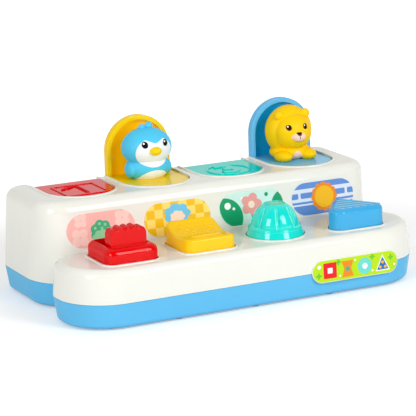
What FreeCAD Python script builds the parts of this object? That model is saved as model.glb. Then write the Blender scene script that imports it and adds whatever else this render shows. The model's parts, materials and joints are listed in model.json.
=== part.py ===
"""Pop-up toy: a two-tier moulded housing with four spring-loaded flaps, each
carrying a small animal, and four controls (slider, rocker, twist knob and push
button) that release the flaps through bell-crank latch levers.

Axes: X runs along the housing, Y points to the rear, Z is up.  The origin is
the centre of the footprint, on the surface that the foot pads stand on.
Every length is in millimetres and every angle in degrees.
"""

import FreeCAD, Part
import math
import os

from FreeCAD import Matrix, Vector

# ---------------------------------------------------------------- layout
LANE_PITCH = 72.0                 # distance between neighbouring flaps
LANE_COUNT = 4
HINGE_Y = 67.0                    # flap hinge line
BUTTON_Y = -52.4                  # centre line of the controls

# ---------------------------------------------------------------- housing
FOOT_STANDOFF = 1.2               # foot pads below the base tray
SEAM_Z = 23.0                     # joint between base tray and top shell
TIER_TOP_Z = 51.5                 # top of the low front tier
BLOCK_TOP_Z = 92.5                # top of the tall rear block
WALL = 2.4                        # moulded wall of both shells
SEAM_GAP = 0.3                    # shut line between tray and shell

BLOCK_HALF = 163.6                # rear block, half length at the seam
BLOCK_FRONT_Y = -15.0
REAR_Y = 93.4
BLOCK_FRONT_R = 42.0              # front corners in plan, at the seam
BLOCK_FRONT_TOP_R = 24.0          # and tighter at the top
BLOCK_REAR_R = 17.0
BLOCK_SIDE_DRAFT = 3.0            # pull-in between seam and top
BLOCK_FRONT_LEAN = 10.0
BLOCK_REAR_LEAN = 4.0
BLOCK_EDGE_R = 10.0               # rounding round the top

TIER_HALF = 166.6                 # front tier, half length at the seam
FRONT_Y = -92.0
TIER_REAR_Y = -13.5
TIER_FRONT_R = 44.0
TIER_REAR_R = 30.0
TIER_SIDE_DRAFT = 1.6
TIER_FRONT_LEAN = 1.6
TIER_EDGE_R = 7.0

BRIDGE_HALF = 124.0               # web that joins tier and block in the notch
TRAY_TAPER = 3.2                  # base tray pull-in at the floor
TRAY_EDGE_R = 4.5
LIP_HEIGHT = 2.6                  # locating lip of the tray inside the shell
LIP_WALL = 1.3
LIP_GAP = 0.15

RIM_WIDTH = 1.9                   # raised bead round each opening
RIM_HEIGHT = 1.0
RIM_ROUND = 0.8

# ---------------------------------------------------------------- flaps
FLAP_HALF = 30.7                  # half width of the arch
FLAP_DEPTH = 61.2                 # hinge line to the tip of the arch
FLAP_GAP = 0.7                    # gap between arch and opening
FLAP_THICK = 7.5                  # depth of the arch rim
FLAP_SKIN = 2.0
FLAP_RIM = 4.0                    # width of the arch rim
FLAP_EDGE_R = 1.0
HINGE_DROP = 8.9                  # hinge axis below the block top
FLOOR_DROP = 0.5                  # open floor leaf below the block top
FLOOR_THICK = 2.0
FLOOR_TIP_GAP = 0.4               # floor leaf smaller than the arch
KNUCKLE_R = 4.1
KNUCKLE_LEN = 9.0
KNUCKLE_GAP = 0.5                 # knuckle to the edge of the rear ledge
LEDGE_DROP = 0.4                  # rear ledge below the hinge axis
LEDGE_SIDE = 0.2                  # rear ledge past the outer flap openings
ROD_R = 1.5
ROD_FIT = 0.05                    # radial clearance of every rod fit
HINGE_ROD_END = 3.0               # hinge rod past the middle of the outer ribs
HINGE_BOSS_R = 4.0
HINGE_BOSS_HALF = 4.7
MARK_HEIGHT = 0.8                 # raised shape on each flap
MARK_WIDTH = 1.6
MARK_EMBED = 0.3
MARK_RADIUS = 19.8
MARK_SETBACK = 32.6               # centre of the shape from the hinge line
SLOT_HALF = 4.8                   # latch slot in the tip of each flap
SLOT_DEPTH = 2.8
SLOT_LOW = 2.6                    # slot height range above the hinge axis
SLOT_HIGH = 5.4
FIGURE_SETBACK = 15.6             # figure centre in front of the hinge line

# ---------------------------------------------------------------- latch levers
LEVER_Y = 2.5                     # pivot of the bell cranks
LEVER_Z = 61.2
LEVER_HALF = 4.0
LEVER_HUB_R = 4.0
LEVER_ARM = 2.6                   # thickness of the upright arm
LEVER_ARM_TOP = 84.0
LEVER_NOSE_GAP = 0.6              # nose clear of the flap's swept path
LEVER_NOSE_H = 2.0
LEVER_NOSE_ROOT = 1.6             # thickness of the arm behind the nose
LEVER_BEAM_TOP = 44.6             # top of the forward beam
LEVER_BEAM_H = 4.0
LEVER_GUSSET = 12.0
LEVER_GUIDE_GAP = 0.4
GUIDE_WALL = 2.0
GUIDE_LOW_Z = 50.0
GUIDE_TOP_Z = 72.0
LATCH_ROD_END = 1.6               # latch rod past the outer guides
BEAM_END_SLIDER = -64.0           # front ends of the four beams
BEAM_END_ROCKER = -72.0
BEAM_END_KNOB = -44.0
BEAM_END_PUSH = -60.0
LATCH_SPRING_Y = -30.0

# ---------------------------------------------------------------- controls
CONTROL_HALF = 24.2               # half size of a control at the opening
CONTROL_GAP = 0.8
CONTROL_CORNER = 9.0
CONTROL_WALL = 2.2
CONTROL_SKIRT_Z = 46.8            # lower edge of the moulded skirts
TOUCH_GAP = 0.3                   # control foot above its lever beam
FLANGE_OUT = 2.2                  # retaining flange under the shell
FLANGE_THICK = 1.8
FLANGE_GAP = 0.3

SLIDER_TOP_Z = 65.0               # crown of the slider's track
SLIDER_EDGE_R = 6.0
SLIDER_BAR_TOP_Z = 80.6
SLIDER_BAR_HALF = 16.4
SLIDER_BAR_DEPTH = 13.0
SLIDER_BAR_Y = -59.8              # centre of the bar at the front stop
SLIDER_BAR_GAP = 0.3
SLIDER_TRAVEL = 18.0
TROUGH_HALF = 18.6
TROUGH_FRONT_Y = -66.8
TROUGH_REAR_Y = -33.0
TROUGH_FLOOR_Z = 57.5
SLIDER_NECK_HALF = 5.0
SLIDER_NECK_DEPTH = 6.0
SLIDER_NECK_STEP = 0.5            # shoulder that locates the keeper
SLIDER_NECK_FIT = 0.2
SLIDER_WEDGE_RISE = 1.8           # wedge on the lever under the slider
KEEPER_PLATE_HALF = 9.0
KEEPER_PLATE_DEPTH = 11.0
KEEPER_PLATE_THICK = 2.0
GRIP_COUNT = 5
GRIP_PITCH = 6.2
GRIP_R = 3.3
GRIP_DROP = 1.6                   # outer ridges lower than the others
GRIP_EDGE_R = 1.0
BAR_SHOULDER_R = 4.5
TROUGH_CORNER_R = 3.0
TRACK_LEG = 4.0
TRACK_LEG_IN = 4.8                # leg centres inside the track's sides

ROCKER_REAR_Z = 70.4
ROCKER_FRONT_Z = 63.4
ROCKER_DIP_Z = 62.4               # lowest point of the concave thumb ramp
ROCKER_DIP_IN = 17.0              # that point behind the front edge
ROCKER_RAMP_IN = 8.5              # a middle point of the ramp, before the brow
ROCKER_RAMP_RISE = 3.2            # and above the lowest point
ROCKER_BROW = 4.6                 # flat top at the rear
ROCKER_TAPER = 1.6
ROCKER_EDGE_R = 2.4
ROCKER_CAP = 4.0                  # the tapered form runs past the brow
ROCKER_PIVOT_Y = -31.4
ROCKER_PIVOT_Z = 46.7
ROCKER_LUG = 4.0                  # lugs round the pin
ROCKER_LUG_REAR = 3.0             # and less far behind it
ROCKER_LUG_WALL = 3.0
ROCKER_PIN_HALF = 28.6
ROCKER_TOWER = 3.0
ROCKER_TOWER_DEPTH = 4.0          # half depth of the carrier's towers
ROCKER_TOWER_GAP = 0.7
ROCKER_FOOT_Y = -68.0
ROCKER_ROOF = 2.9                 # moulded thickness below the dip
ROCKER_STOP_HALF = 12.0           # stop flange under the front edge
CONTROL_FOOT_HALF = 3.5           # feet of the rocker and the push button
CONTROL_FOOT_R = 2.0
DOT_R = 2.0
DOT_SINK = 1.0
DOT_PITCH = 7.6
DOT_ROWS = ((14.6, 4), (9.8, 5), (5.0, 4), (0.2, 5))   # distance behind the centre, dots
BAR_COUNT = 3
BAR_HALF = 13.0
BAR_R = 0.8
BAR_SINK = 0.55
BAR_FIRST = 5.5                   # first bar behind the front edge
BAR_PITCH = 4.2

KNOB_R = 24.9                     # skirt
KNOB_SKIRT_LIFT = 1.5             # straight skirt above the tier
KNOB_FLARE_R = 23.2
KNOB_FLARE_Z = 57.6
KNOB_LIP_R = 22.4
KNOB_LIP_Z = 60.2
KNOB_DOME_R = 20.7                # foot of the dome
KNOB_DOME_Z = 61.0
KNOB_CROWN_R = 17.8               # middle of the dome
KNOB_CROWN_Z = 70.6
KNOB_TOP_Z = 79.2
KNOB_HUB_R = 9.8
KNOB_HUB_STEP = 0.6               # hub disc above the dome
KNOB_HUB_THICK = 1.5
KNOB_HUB_EDGE_R = 0.5
KNOB_HUB_RING = 1.3
KNOB_HUB_RECESS = 0.5
KNOB_FLUTES = 8
KNOB_FLUTE_R = 2.6
FLUTE_TOP_OUT = 3.1               # flute axis past the hub
FLUTE_TOP_UP = 1.6
FLUTE_FOOT_OUT = 2.1              # flute axis past the foot of the dome
KNOB_SPINDLE_R = 4.0
KNOB_TUBE_R = 6.4                 # bearing tube on the carrier
KNOB_TUBE_TOP_Z = 42.0
WASHER_THICK = 1.0
KNOB_CAM_R = 12.0                 # mean radius of the cam ring
KNOB_CAM_WALL = 3.0
KNOB_TURN = 60.0
CAM_LIFT = 2.6
CAM_PAD = 1.0                     # half size of the pad on the lever
CAM_PAD_R = 0.6
CAM_TRIM = 0.8                    # cam ring inside the knob's outer face

PUSH_TOP_Z = 69.4
PUSH_HALF = 25.5
PUSH_FRONT_Y = -76.2
PUSH_APEX_Y = -32.8
PUSH_CORNER = 9.5
PUSH_EDGE_R = 3.5
PUSH_RIDGES = 9
PUSH_RIDGE_PITCH = 3.5
PUSH_RIDGE_R = 0.9
PUSH_RIDGE_SINK = 0.1
PUSH_RIDGE_FIRST = 6.4            # first ridge behind the front edge
PUSH_RIDGE_MARGIN = 2.2           # ridge ends inside the edge rounding
PUSH_FOOT_Y = -54.0
PUSH_STEM_R = 2.5
PUSH_STEM_X = 15.0
PUSH_STEM_Y = -67.0
PUSH_STEM_Z = 34.0
PUSH_TUBE_R = 4.5
PUSH_TUBE_TOP_Z = 40.0

# ---------------------------------------------------------------- carrier, keepers
CARRIER_Z = 29.2                  # underside of the control carrier
CARRIER_THICK = 2.6
CARRIER_HALF = 142.0
CARRIER_FRONT_Y = -82.0
CARRIER_REAR_Y = -24.0
CARRIER_CORNER = 12.0
POST_R = 4.2
POST_ROWS = (-67.0, -37.0)
CARRIER_SCREW = 13.0              # screw lengths
KEEPER_SCREW = 15.0
FIGURE_SCREW = 11.0
KNOB_SCREW = 12.0
SCREW_ROOM = 1.0                  # hole past the screw's tip
SCREW_R = 1.5
SCREW_FIT = 0.05
SCREW_HEAD_R = 2.9
SCREW_HEAD_H = 1.8
SCREW_RECESS = 1.0
SCREW_CROSS = (1.7, 0.4)          # half sizes of the cross recess
RIB_WALL = 3.0
RIB_BOTTOM_Z = 41.0
KEEPER_H = 4.0
KEEPER_DEPTH = 8.0
REAR_KEEPER_Z = 36.8
FRONT_KEEPER_Z = 35.2
KEEPER_POST_HALF = 1.45
KEEPER_BOSS_OFFSET = 7.0
KEEPER_BOSS_H = 16.0
KEEPER_WEB_HALF = 3.6
SLOT_SIDE_GAP = 0.1               # slot cutters past the rib's faces
BOSS_WEB_HALF = 1.0

# ---------------------------------------------------------------- base tray
TRAY_FLOOR = 2.4
HOUSING_BOSS_R = 4.6
HOUSING_SCREW_TOP = 36.0
FRONT_SCREW_IN = (19.6, 34.0)     # screw insets from the tier's side and front
CORNER_SCREW_IN = (11.6, 18.4)    # from the block's side and rear
REAR_SCREW_IN = 11.4              # from the rear, between the lanes
COUNTERBORE_Z = 6.0
COUNTERBORE_R = 3.4
FOOT_R = 6.0
FOOT_EDGE_R = 0.5
FRONT_FOOT_IN = 14.0              # foot insets from front and rear
TIER_FOOT_IN = (34.6, 17.0)       # from the tier's side and front
REAR_FOOT_IN = 15.4
BLOCK_FOOT_IN = 24.6              # from the block's side

# ---------------------------------------------------------------- stickers
STICKER_THICK = 0.3
STICKER_LENGTH = 63.0
STICKER_HEIGHT = 28.6
STICKER_Z = 66.9                  # centre height
BADGE_SIDE_IN = 32.3              # from the tier's side
BADGE_LENGTH = 83.9
BADGE_Z0 = 14.2
BADGE_Z1 = 32.7
BADGE_RAISE = 1.0                 # plaque above the shell's front face
BADGE_BACK = 0.2
BADGE_MARGIN = 0.6                # plaque shows round the sticker
BADGE_GAP = 0.3

# ---------------------------------------------------------------- springs
SPRING_WIRE = 0.5
FLAP_SPRING_R = 3.1
FLAP_SPRING_TURNS = 3
FLAP_SPRING_PITCH = 1.4
FLAP_SPRING_X = 20.9              # outer end of the coil beside the knuckle
FLAP_SPRING_TAIL = 1.8
LATCH_SPRING_R = 3.0
LATCH_SPRING_TURNS = 4
LATCH_POST_R = 2.0                # posts inside the springs
PUSH_SPRING_R = 5.0
PUSH_SPRING_TURNS = 5
PUSH_SPRING_TOP = 46.0            # seat under the push button
PUSH_POST_R = 4.0
PUSH_SEAT_R = 6.0
SPRING_POST_H = 3.0

# ---------------------------------------------------------------- derived
LANES = [(i - (LANE_COUNT - 1) / 2) * LANE_PITCH for i in range(LANE_COUNT)]
RIBS = [(i - LANE_COUNT / 2) * LANE_PITCH for i in range(LANE_COUNT + 1)]
SLIDER_X, ROCKER_X, KNOB_X, PUSH_X = LANES
HINGE_Z = BLOCK_TOP_Z - HINGE_DROP
OPEN_HALF = FLAP_HALF + FLAP_GAP
LEDGE_HALF = LANES[-1] + OPEN_HALF + LEDGE_SIDE
HINGE_ROD_HALF = RIBS[-1] + HINGE_ROD_END
FLAP_STRAIGHT = FLAP_DEPTH - FLAP_HALF
FLOOR_TOP = HINGE_DROP - FLOOR_DROP       # above the hinge axis, flap open
LEDGE_Z = HINGE_Z - LEDGE_DROP
LEDGE_Y = HINGE_Y + KNUCKLE_R + KNUCKLE_GAP
ROD_BORE = ROD_R + ROD_FIT
SCREW_BORE = SCREW_R + SCREW_FIT
TIER_CEILING = TIER_TOP_Z - WALL
CARRIER_TOP = CARRIER_Z + CARRIER_THICK
FOOT_Z = LEVER_BEAM_TOP + TOUCH_GAP       # lowest point of every control foot
FLANGE_TOP = TIER_CEILING - FLANGE_GAP
SLIDER_FLOOR_UNDER = TROUGH_FLOOR_Z - CONTROL_WALL
NECK_STEP_Z = SLIDER_FLOOR_UNDER - SLIDER_BAR_GAP
GUIDE_OFFSET = LEVER_HALF + LEVER_GUIDE_GAP
GUIDE_END = LANES[-1] + GUIDE_OFFSET + GUIDE_WALL
LATCH_ROD_HALF = GUIDE_END + LATCH_ROD_END
BADGE_X1 = TIER_HALF - BADGE_SIDE_IN
BADGE_X0 = BADGE_X1 - BADGE_LENGTH
FRONT_POSTS = [-GUIDE_END + GUIDE_WALL / 2] + RIBS[1:-1] + [GUIDE_END - GUIDE_WALL / 2]
HOUSING_SCREWS = ((TIER_HALF - FRONT_SCREW_IN[0], FRONT_Y + FRONT_SCREW_IN[1]),
                  (BLOCK_HALF - CORNER_SCREW_IN[0], REAR_Y - CORNER_SCREW_IN[1]),
                  (LANE_PITCH / 2, REAR_Y - REAR_SCREW_IN))


def export(name, shape):
    """Write one sub-part as parts/NAME.step."""
    shape.exportStep("parts/" + name + ".step")


def box(x0, x1, y0, y1, z0, z1):
    """Axis-aligned box from its six limits."""
    return Part.makeBox(x1 - x0, y1 - y0, z1 - z0, Vector(x0, y0, z0))


def cylinder_x(x0, x1, y, z, radius):
    return Part.makeCylinder(radius, x1 - x0, Vector(x0, y, z), Vector(1, 0, 0))


def cylinder_z(x, y, z0, z1, radius):
    return Part.makeCylinder(radius, z1 - z0, Vector(x, y, z0))


def fuse_all(shapes):
    """Fuse a list of touching or overlapping solids into one clean solid."""
    return shapes[0].fuse(shapes[1:]).removeSplitter()


def ellipsoid(centre, radii):
    """Ellipsoid with the given centre and three semi-axes."""
    scale = Matrix()
    scale.scale(*radii)
    shape = Part.makeSphere(1.0).transformGeometry(scale)
    shape.translate(Vector(*centre))
    return shape


def arc(p0, p1, p2):
    """Circular edge through three points."""
    return Part.Arc(Vector(*p0), Vector(*p1), Vector(*p2)).toShape()


def line(p0, p1):
    return Part.makeLine(Vector(*p0), Vector(*p1))


def plan_wire(half, front, rear, r_front, r_rear, z):
    """Rounded rectangle in plan, with its own front and rear corner radii."""
    k = math.sqrt(0.5)
    fx, rx = half - r_front, half - r_rear
    fy, ry = front + r_front, rear - r_rear
    f, r = r_front * k, r_rear * k
    edges = [
        line((-fx, front, z), (fx, front, z)),
        arc((fx, front, z), (fx + f, fy - f, z), (half, fy, z)),
        line((half, fy, z), (half, ry, z)),
        arc((half, ry, z), (rx + r, ry + r, z), (rx, rear, z)),
        line((rx, rear, z), (-rx, rear, z)),
        arc((-rx, rear, z), (-rx - r, ry + r, z), (-half, ry, z)),
        line((-half, ry, z), (-half, fy, z)),
        arc((-half, fy, z), (-fx - f, fy - f, z), (-fx, front, z)),
    ]
    return Part.Wire(edges)


def edges_at(shape, z):
    """Edges that lie in the horizontal plane at height z."""
    return [e for e in shape.Edges
            if abs(e.BoundBox.ZMin - z) < 0.01 and abs(e.BoundBox.ZMax - z) < 0.01]


# ================================================================ housing forms
def block_form(grow=0.0, top=BLOCK_TOP_Z, bottom=SEAM_Z, edge_r=BLOCK_EDGE_R):
    """Tall rear block above the seam.  grow offsets the side faces outwards."""
    share = (top - SEAM_Z) / (BLOCK_TOP_Z - SEAM_Z)
    low = (bottom - SEAM_Z) / (BLOCK_TOP_Z - SEAM_Z)
    wires = []
    for level, z in ((low, bottom), (share, top)):
        front_r = BLOCK_FRONT_R + (BLOCK_FRONT_TOP_R - BLOCK_FRONT_R) * level
        wires.append(plan_wire(BLOCK_HALF - BLOCK_SIDE_DRAFT * level + grow,
                               BLOCK_FRONT_Y + BLOCK_FRONT_LEAN * level - grow,
                               REAR_Y - BLOCK_REAR_LEAN * level + grow,
                               front_r + grow, BLOCK_REAR_R + grow, z))
    form = Part.makeLoft(wires, True, True)
    return form.makeFillet(edge_r, edges_at(form, top)) if edge_r else form


def tier_form(grow=0.0, top=TIER_TOP_Z, bottom=SEAM_Z, edge_r=TIER_EDGE_R):
    """Low front tier above the seam.  grow offsets the side faces outwards."""
    share = (top - SEAM_Z) / (TIER_TOP_Z - SEAM_Z)
    low = (bottom - SEAM_Z) / (TIER_TOP_Z - SEAM_Z)
    wires = []
    for level, z in ((low, bottom), (share, top)):
        draft = TIER_SIDE_DRAFT * level
        wires.append(plan_wire(TIER_HALF - draft + grow,
                               FRONT_Y + TIER_FRONT_LEAN * level - grow,
                               TIER_REAR_Y - TIER_FRONT_LEAN * level + grow,
                               TIER_FRONT_R - draft / 2 + grow,
                               TIER_REAR_R - draft / 2 + grow, z))
    form = Part.makeLoft(wires, True, True)
    return form.makeFillet(edge_r, edges_at(form, top)) if edge_r else form


def tray_form(kind, grow=0.0, bottom=FOOT_STANDOFF, edge_r=TRAY_EDGE_R):
    """Base tray below the seam, under the block or under the tier."""
    top = SEAM_Z - SEAM_GAP
    wires = []
    for taper, z in ((TRAY_TAPER, bottom), (0.0, top)):
        if kind == "block":
            wires.append(plan_wire(BLOCK_HALF - taper + grow, BLOCK_FRONT_Y + taper - grow,
                                   REAR_Y - taper + grow, BLOCK_FRONT_R - taper + grow,
                                   BLOCK_REAR_R - taper + grow, z))
        else:
            wires.append(plan_wire(TIER_HALF - taper + grow, FRONT_Y + taper - grow,
                                   TIER_REAR_Y - taper + grow, TIER_FRONT_R - taper + grow,
                                   TIER_REAR_R - taper + grow, z))
    form = Part.makeLoft(wires, True, True)
    return form.makeFillet(edge_r, edges_at(form, bottom)) if edge_r else form


def bridge_form(z0, z1, shrink=0.0):
    """Web between tier and block, inside the side notches."""
    half = BRIDGE_HALF - shrink
    return box(-half, half, TIER_REAR_Y - 20, BLOCK_FRONT_Y + 22, z0, z1)


def prism(wire, height):
    """Upright solid on a closed planar wire."""
    return Part.Face(wire).extrude(Vector(0, 0, height))


def turned_x(shape, angle):
    """Copy of the shape turned about the X axis."""
    copy = shape.copy()
    copy.rotate(Vector(0, 0, 0), Vector(1, 0, 0), angle)
    return copy


def moved(shape, x, y, z):
    copy = shape.copy()
    copy.translate(Vector(x, y, z))
    return copy


def arch_wire(half, straight, back, z, y0=0.0):
    """Arch outline in plan: straight sides that end in a half circle at the front."""
    yb, ys = y0 + back, y0 - straight
    return Part.Wire([line((-half, yb, z), (-half, ys, z)),
                      arc((-half, ys, z), (0, ys - half, z), (half, ys, z)),
                      line((half, ys, z), (half, yb, z)),
                      line((half, yb, z), (-half, yb, z))])


def round_rect(half_x, half_y, radius, z, x0=0.0, y0=0.0):
    """Rounded rectangle in plan about a centre."""
    wire = plan_wire(half_x, -half_y, half_y, radius, radius, z)
    wire.translate(Vector(x0, y0, 0))
    return wire


def triangle_frame():
    """Corner centres (cx, cy), (0, ay) and right side normal (nx, ny) of the push button."""
    cx = PUSH_HALF - PUSH_CORNER
    cy = PUSH_FRONT_Y + PUSH_CORNER
    ay = PUSH_APEX_Y - PUSH_CORNER
    side = math.hypot(cx, ay - cy)
    return cx, cy, ay, (ay - cy) / side, cx / side


def round_triangle(grow, z):
    """Triangle with rounded corners, pointing to the rear."""
    r = PUSH_CORNER + grow
    cx, cy, ay, nx, ny = triangle_frame()
    mid = math.hypot(nx, ny - 1)
    mx, my = nx / mid, (ny - 1) / mid
    edges = [
        line((-cx, cy - r, z), (cx, cy - r, z)),
        arc((cx, cy - r, z), (cx + r * mx, cy + r * my, z), (cx + r * nx, cy + r * ny, z)),
        line((cx + r * nx, cy + r * ny, z), (r * nx, ay + r * ny, z)),
        arc((r * nx, ay + r * ny, z), (0, ay + r, z), (-r * nx, ay + r * ny, z)),
        line((-r * nx, ay + r * ny, z), (-cx - r * nx, cy + r * ny, z)),
        arc((-cx - r * nx, cy + r * ny, z), (-cx - r * mx, cy + r * my, z), (-cx, cy - r, z)),
    ]
    wire = Part.Wire(edges)
    wire.translate(Vector(PUSH_X, 0, 0))
    return wire


def profile_x(points, x0, x1):
    """Prism along X on a closed outline of (y, z) points."""
    vectors = [Vector(x0, y, z) for y, z in points]
    return Part.Face(Part.makePolygon(vectors + vectors[:1])).extrude(Vector(x1 - x0, 0, 0))


def screw(x, y, head_z, length):
    """Pan-head screw driven upwards from head_z, with a cross recess."""
    head = cylinder_z(x, y, head_z - SCREW_HEAD_H, head_z, SCREW_HEAD_R)
    body = head.fuse(cylinder_z(x, y, head_z - 0.1, head_z + length, SCREW_R))
    low = head_z - SCREW_HEAD_H
    for dx, dy in (SCREW_CROSS, SCREW_CROSS[::-1]):
        body = body.cut(box(x - dx, x + dx, y - dy, y + dy, low - 1, low + SCREW_RECESS))
    return body


def coil(radius, turns, pitch, tail_in=0.0, tail_out=0.0):
    """Round-wire coil about Z from z = 0, each turn drawn as two half-turn arcs.

    The straight tails leave the coil along -Y at its start and +Y at its end."""
    reach = math.hypot(radius, pitch / 4)
    path = []
    if tail_in:
        path.append(line((radius, -tail_in, 0), (radius, 0, 0)))
    for i in range(2 * turns):
        side = 1 if i % 2 == 0 else -1
        z = i * pitch / 2
        path.append(arc((side * radius, 0, z), (0, side * reach, z + pitch / 4),
                        (-side * radius, 0, z + pitch / 2)))
    if tail_out:
        end = turns * pitch
        path.append(line((radius, 0, end), (radius, tail_out, end)))
    circle = Part.Circle(Vector(radius, -tail_in, 0), Vector(0, 1, 0), SPRING_WIRE)
    return Part.Wire(path).makePipeShell([Part.Wire(circle.toShape())], True, False)


# ================================================================ housing
def housing_outer():
    """Outside of the top shell with the recess behind the hinge line."""
    body = block_form().fuse([tier_form(), bridge_form(SEAM_Z, TIER_TOP_Z)])
    ledge = box(-LEDGE_HALF, LEDGE_HALF, LEDGE_Y, REAR_Y + 5, LEDGE_Z, BLOCK_TOP_Z + 5)
    return body.cut(ledge).removeSplitter()


def housing_inner(wall):
    """Cavity of the top shell at the given distance from its outside."""
    block = block_form(-wall, BLOCK_TOP_Z - wall, SEAM_Z - 1, BLOCK_EDGE_R - wall)
    tier = tier_form(-wall, TIER_TOP_Z - wall, SEAM_Z - 1, TIER_EDGE_R - wall)
    cavity = block.fuse([tier, bridge_form(SEAM_Z - 1, TIER_TOP_Z - wall, wall)])
    half = LEDGE_HALF + wall
    ledge = box(-half, half, LEDGE_Y - wall, REAR_Y + 5, LEDGE_Z - wall, BLOCK_TOP_Z + 5)
    return cavity.cut(ledge)


def control_outlines(grow, z):
    """Plan outlines of the four controls, grown by a gap or a bead width."""
    half, corner = CONTROL_HALF + grow, CONTROL_CORNER + grow
    circle = Part.Circle(Vector(KNOB_X, BUTTON_Y, z), Vector(0, 0, 1), KNOB_R + grow)
    return [round_rect(half, half, corner, z, SLIDER_X, BUTTON_Y),
            round_rect(half, half, corner, z, ROCKER_X, BUTTON_Y),
            Part.Wire(circle.toShape()),
            round_triangle(grow, z)]


def opening_beads():
    """Raised beads round the flap openings and the control openings."""
    beads = []
    for lane in LANES:
        wire = arch_wire(OPEN_HALF + RIM_WIDTH, FLAP_STRAIGHT, LEDGE_Y - HINGE_Y,
                         BLOCK_TOP_Z - 1, HINGE_Y)
        bead = prism(wire, 1 + RIM_HEIGHT)
        bead = bead.makeFillet(RIM_ROUND, edges_at(bead, BLOCK_TOP_Z + RIM_HEIGHT))
        beads.append(moved(bead, lane, 0, 0))
    for wire in control_outlines(CONTROL_GAP + RIM_WIDTH, TIER_TOP_Z - 1):
        bead = prism(wire, 1 + RIM_HEIGHT)
        beads.append(bead.makeFillet(RIM_ROUND, edges_at(bead, TIER_TOP_Z + RIM_HEIGHT)))
    return beads


def opening_cuts():
    """Prisms that open the shell for the flaps and the controls."""
    cuts = []
    for lane in LANES:
        wire = arch_wire(OPEN_HALF, FLAP_STRAIGHT, LEDGE_Y - HINGE_Y, LEDGE_Z - WALL - 1, HINGE_Y)
        cuts.append(moved(prism(wire, 20), lane, 0, 0))
    for wire in control_outlines(CONTROL_GAP, TIER_CEILING - 1):
        cuts.append(prism(wire, 10))
    return cuts


def boss(x, y, z0, z1):
    """Screw boss of the housing."""
    return cylinder_z(x, y, z0, z1, HOUSING_BOSS_R)


def webbed_boss(x, y, z0, z1):
    """Screw boss with a web to the rear wall, clear of the tray's lip."""
    web = box(x - BOSS_WEB_HALF, x + BOSS_WEB_HALF, y, REAR_Y, z0 + LIP_HEIGHT + LIP_GAP, z1)
    return boss(x, y, z0, z1).fuse(web)


def shell_ribs():
    """Ribs, bosses and guides inside the shell, before they are trimmed to the cavity."""
    parts = []
    for x in RIBS:
        parts.append(box(x - RIB_WALL / 2, x + RIB_WALL / 2, BLOCK_FRONT_Y, REAR_Y,
                         RIB_BOTTOM_Z, BLOCK_TOP_Z))
        parts.append(cylinder_x(x - HINGE_BOSS_HALF, x + HINGE_BOSS_HALF, HINGE_Y, HINGE_Z,
                                HINGE_BOSS_R))
    for x, side in keeper_ribs(False):
        parts.append(keeper_boss(x, side, HINGE_Y, REAR_KEEPER_Z + KEEPER_H))
    for x, side in keeper_ribs(True):
        parts.append(keeper_boss(x, side, LEVER_Y, FRONT_KEEPER_Z + KEEPER_H))
    for lane in LANES:
        for side in (-1, 1):
            x0 = lane + side * GUIDE_OFFSET
            x1 = x0 + side * GUIDE_WALL
            parts.append(box(min(x0, x1), max(x0, x1), BLOCK_FRONT_Y, LEVER_Y + LEVER_HUB_R,
                             GUIDE_LOW_Z, GUIDE_TOP_Z))
    for x, y in post_points():
        parts.append(cylinder_z(x, y, CARRIER_TOP, TIER_TOP_Z, POST_R))
    for x, y in housing_screw_points():
        if y > 0:
            parts.append(webbed_boss(x, y, SEAM_Z, RIB_BOTTOM_Z + KEEPER_H))
        else:
            parts.append(boss(x, y, SEAM_Z, TIER_TOP_Z))
    for side in (-1, 1):
        x = ROCKER_X + side * (CONTROL_HALF + ROCKER_TOWER_GAP + ROCKER_TOWER / 2)
        parts.append(box(x - ROCKER_TOWER / 2, x + ROCKER_TOWER / 2,
                         ROCKER_PIVOT_Y - ROCKER_TOWER, ROCKER_PIVOT_Y + ROCKER_TOWER,
                         ROCKER_PIVOT_Z + ROD_BORE, TIER_TOP_Z))
    return parts


def keeper_boss(rib, side, y, z):
    """Screw boss beside a rib, joined to it by a web."""
    x = rib + side * KEEPER_BOSS_OFFSET
    web = box(min(rib, x), max(rib, x), y - KEEPER_WEB_HALF, y + KEEPER_WEB_HALF,
              z, z + KEEPER_BOSS_H)
    return cylinder_z(x, y, z, z + KEEPER_BOSS_H, POST_R).fuse(web)


def keeper_ribs(front):
    """Ribs that carry a keeper screw, each with the side that its boss stands on."""
    ribs = RIBS[1:-1] if front else RIBS[:2] + RIBS[-2:]
    return [(x, -1 if x > 0 else 1) for x in ribs]


def keeper_points(front):
    """Screw positions of the front or the rear rod keeper."""
    y = LEVER_Y if front else HINGE_Y
    return [(x + side * KEEPER_BOSS_OFFSET, y) for x, side in keeper_ribs(front)]


def post_points():
    """Screw positions of the control carrier."""
    return [(x, y) for x in RIBS[1:-1] for y in POST_ROWS]


def housing_screw_points():
    return [(side * x, y) for x, y in HOUSING_SCREWS for side in (-1, 1)]


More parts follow.
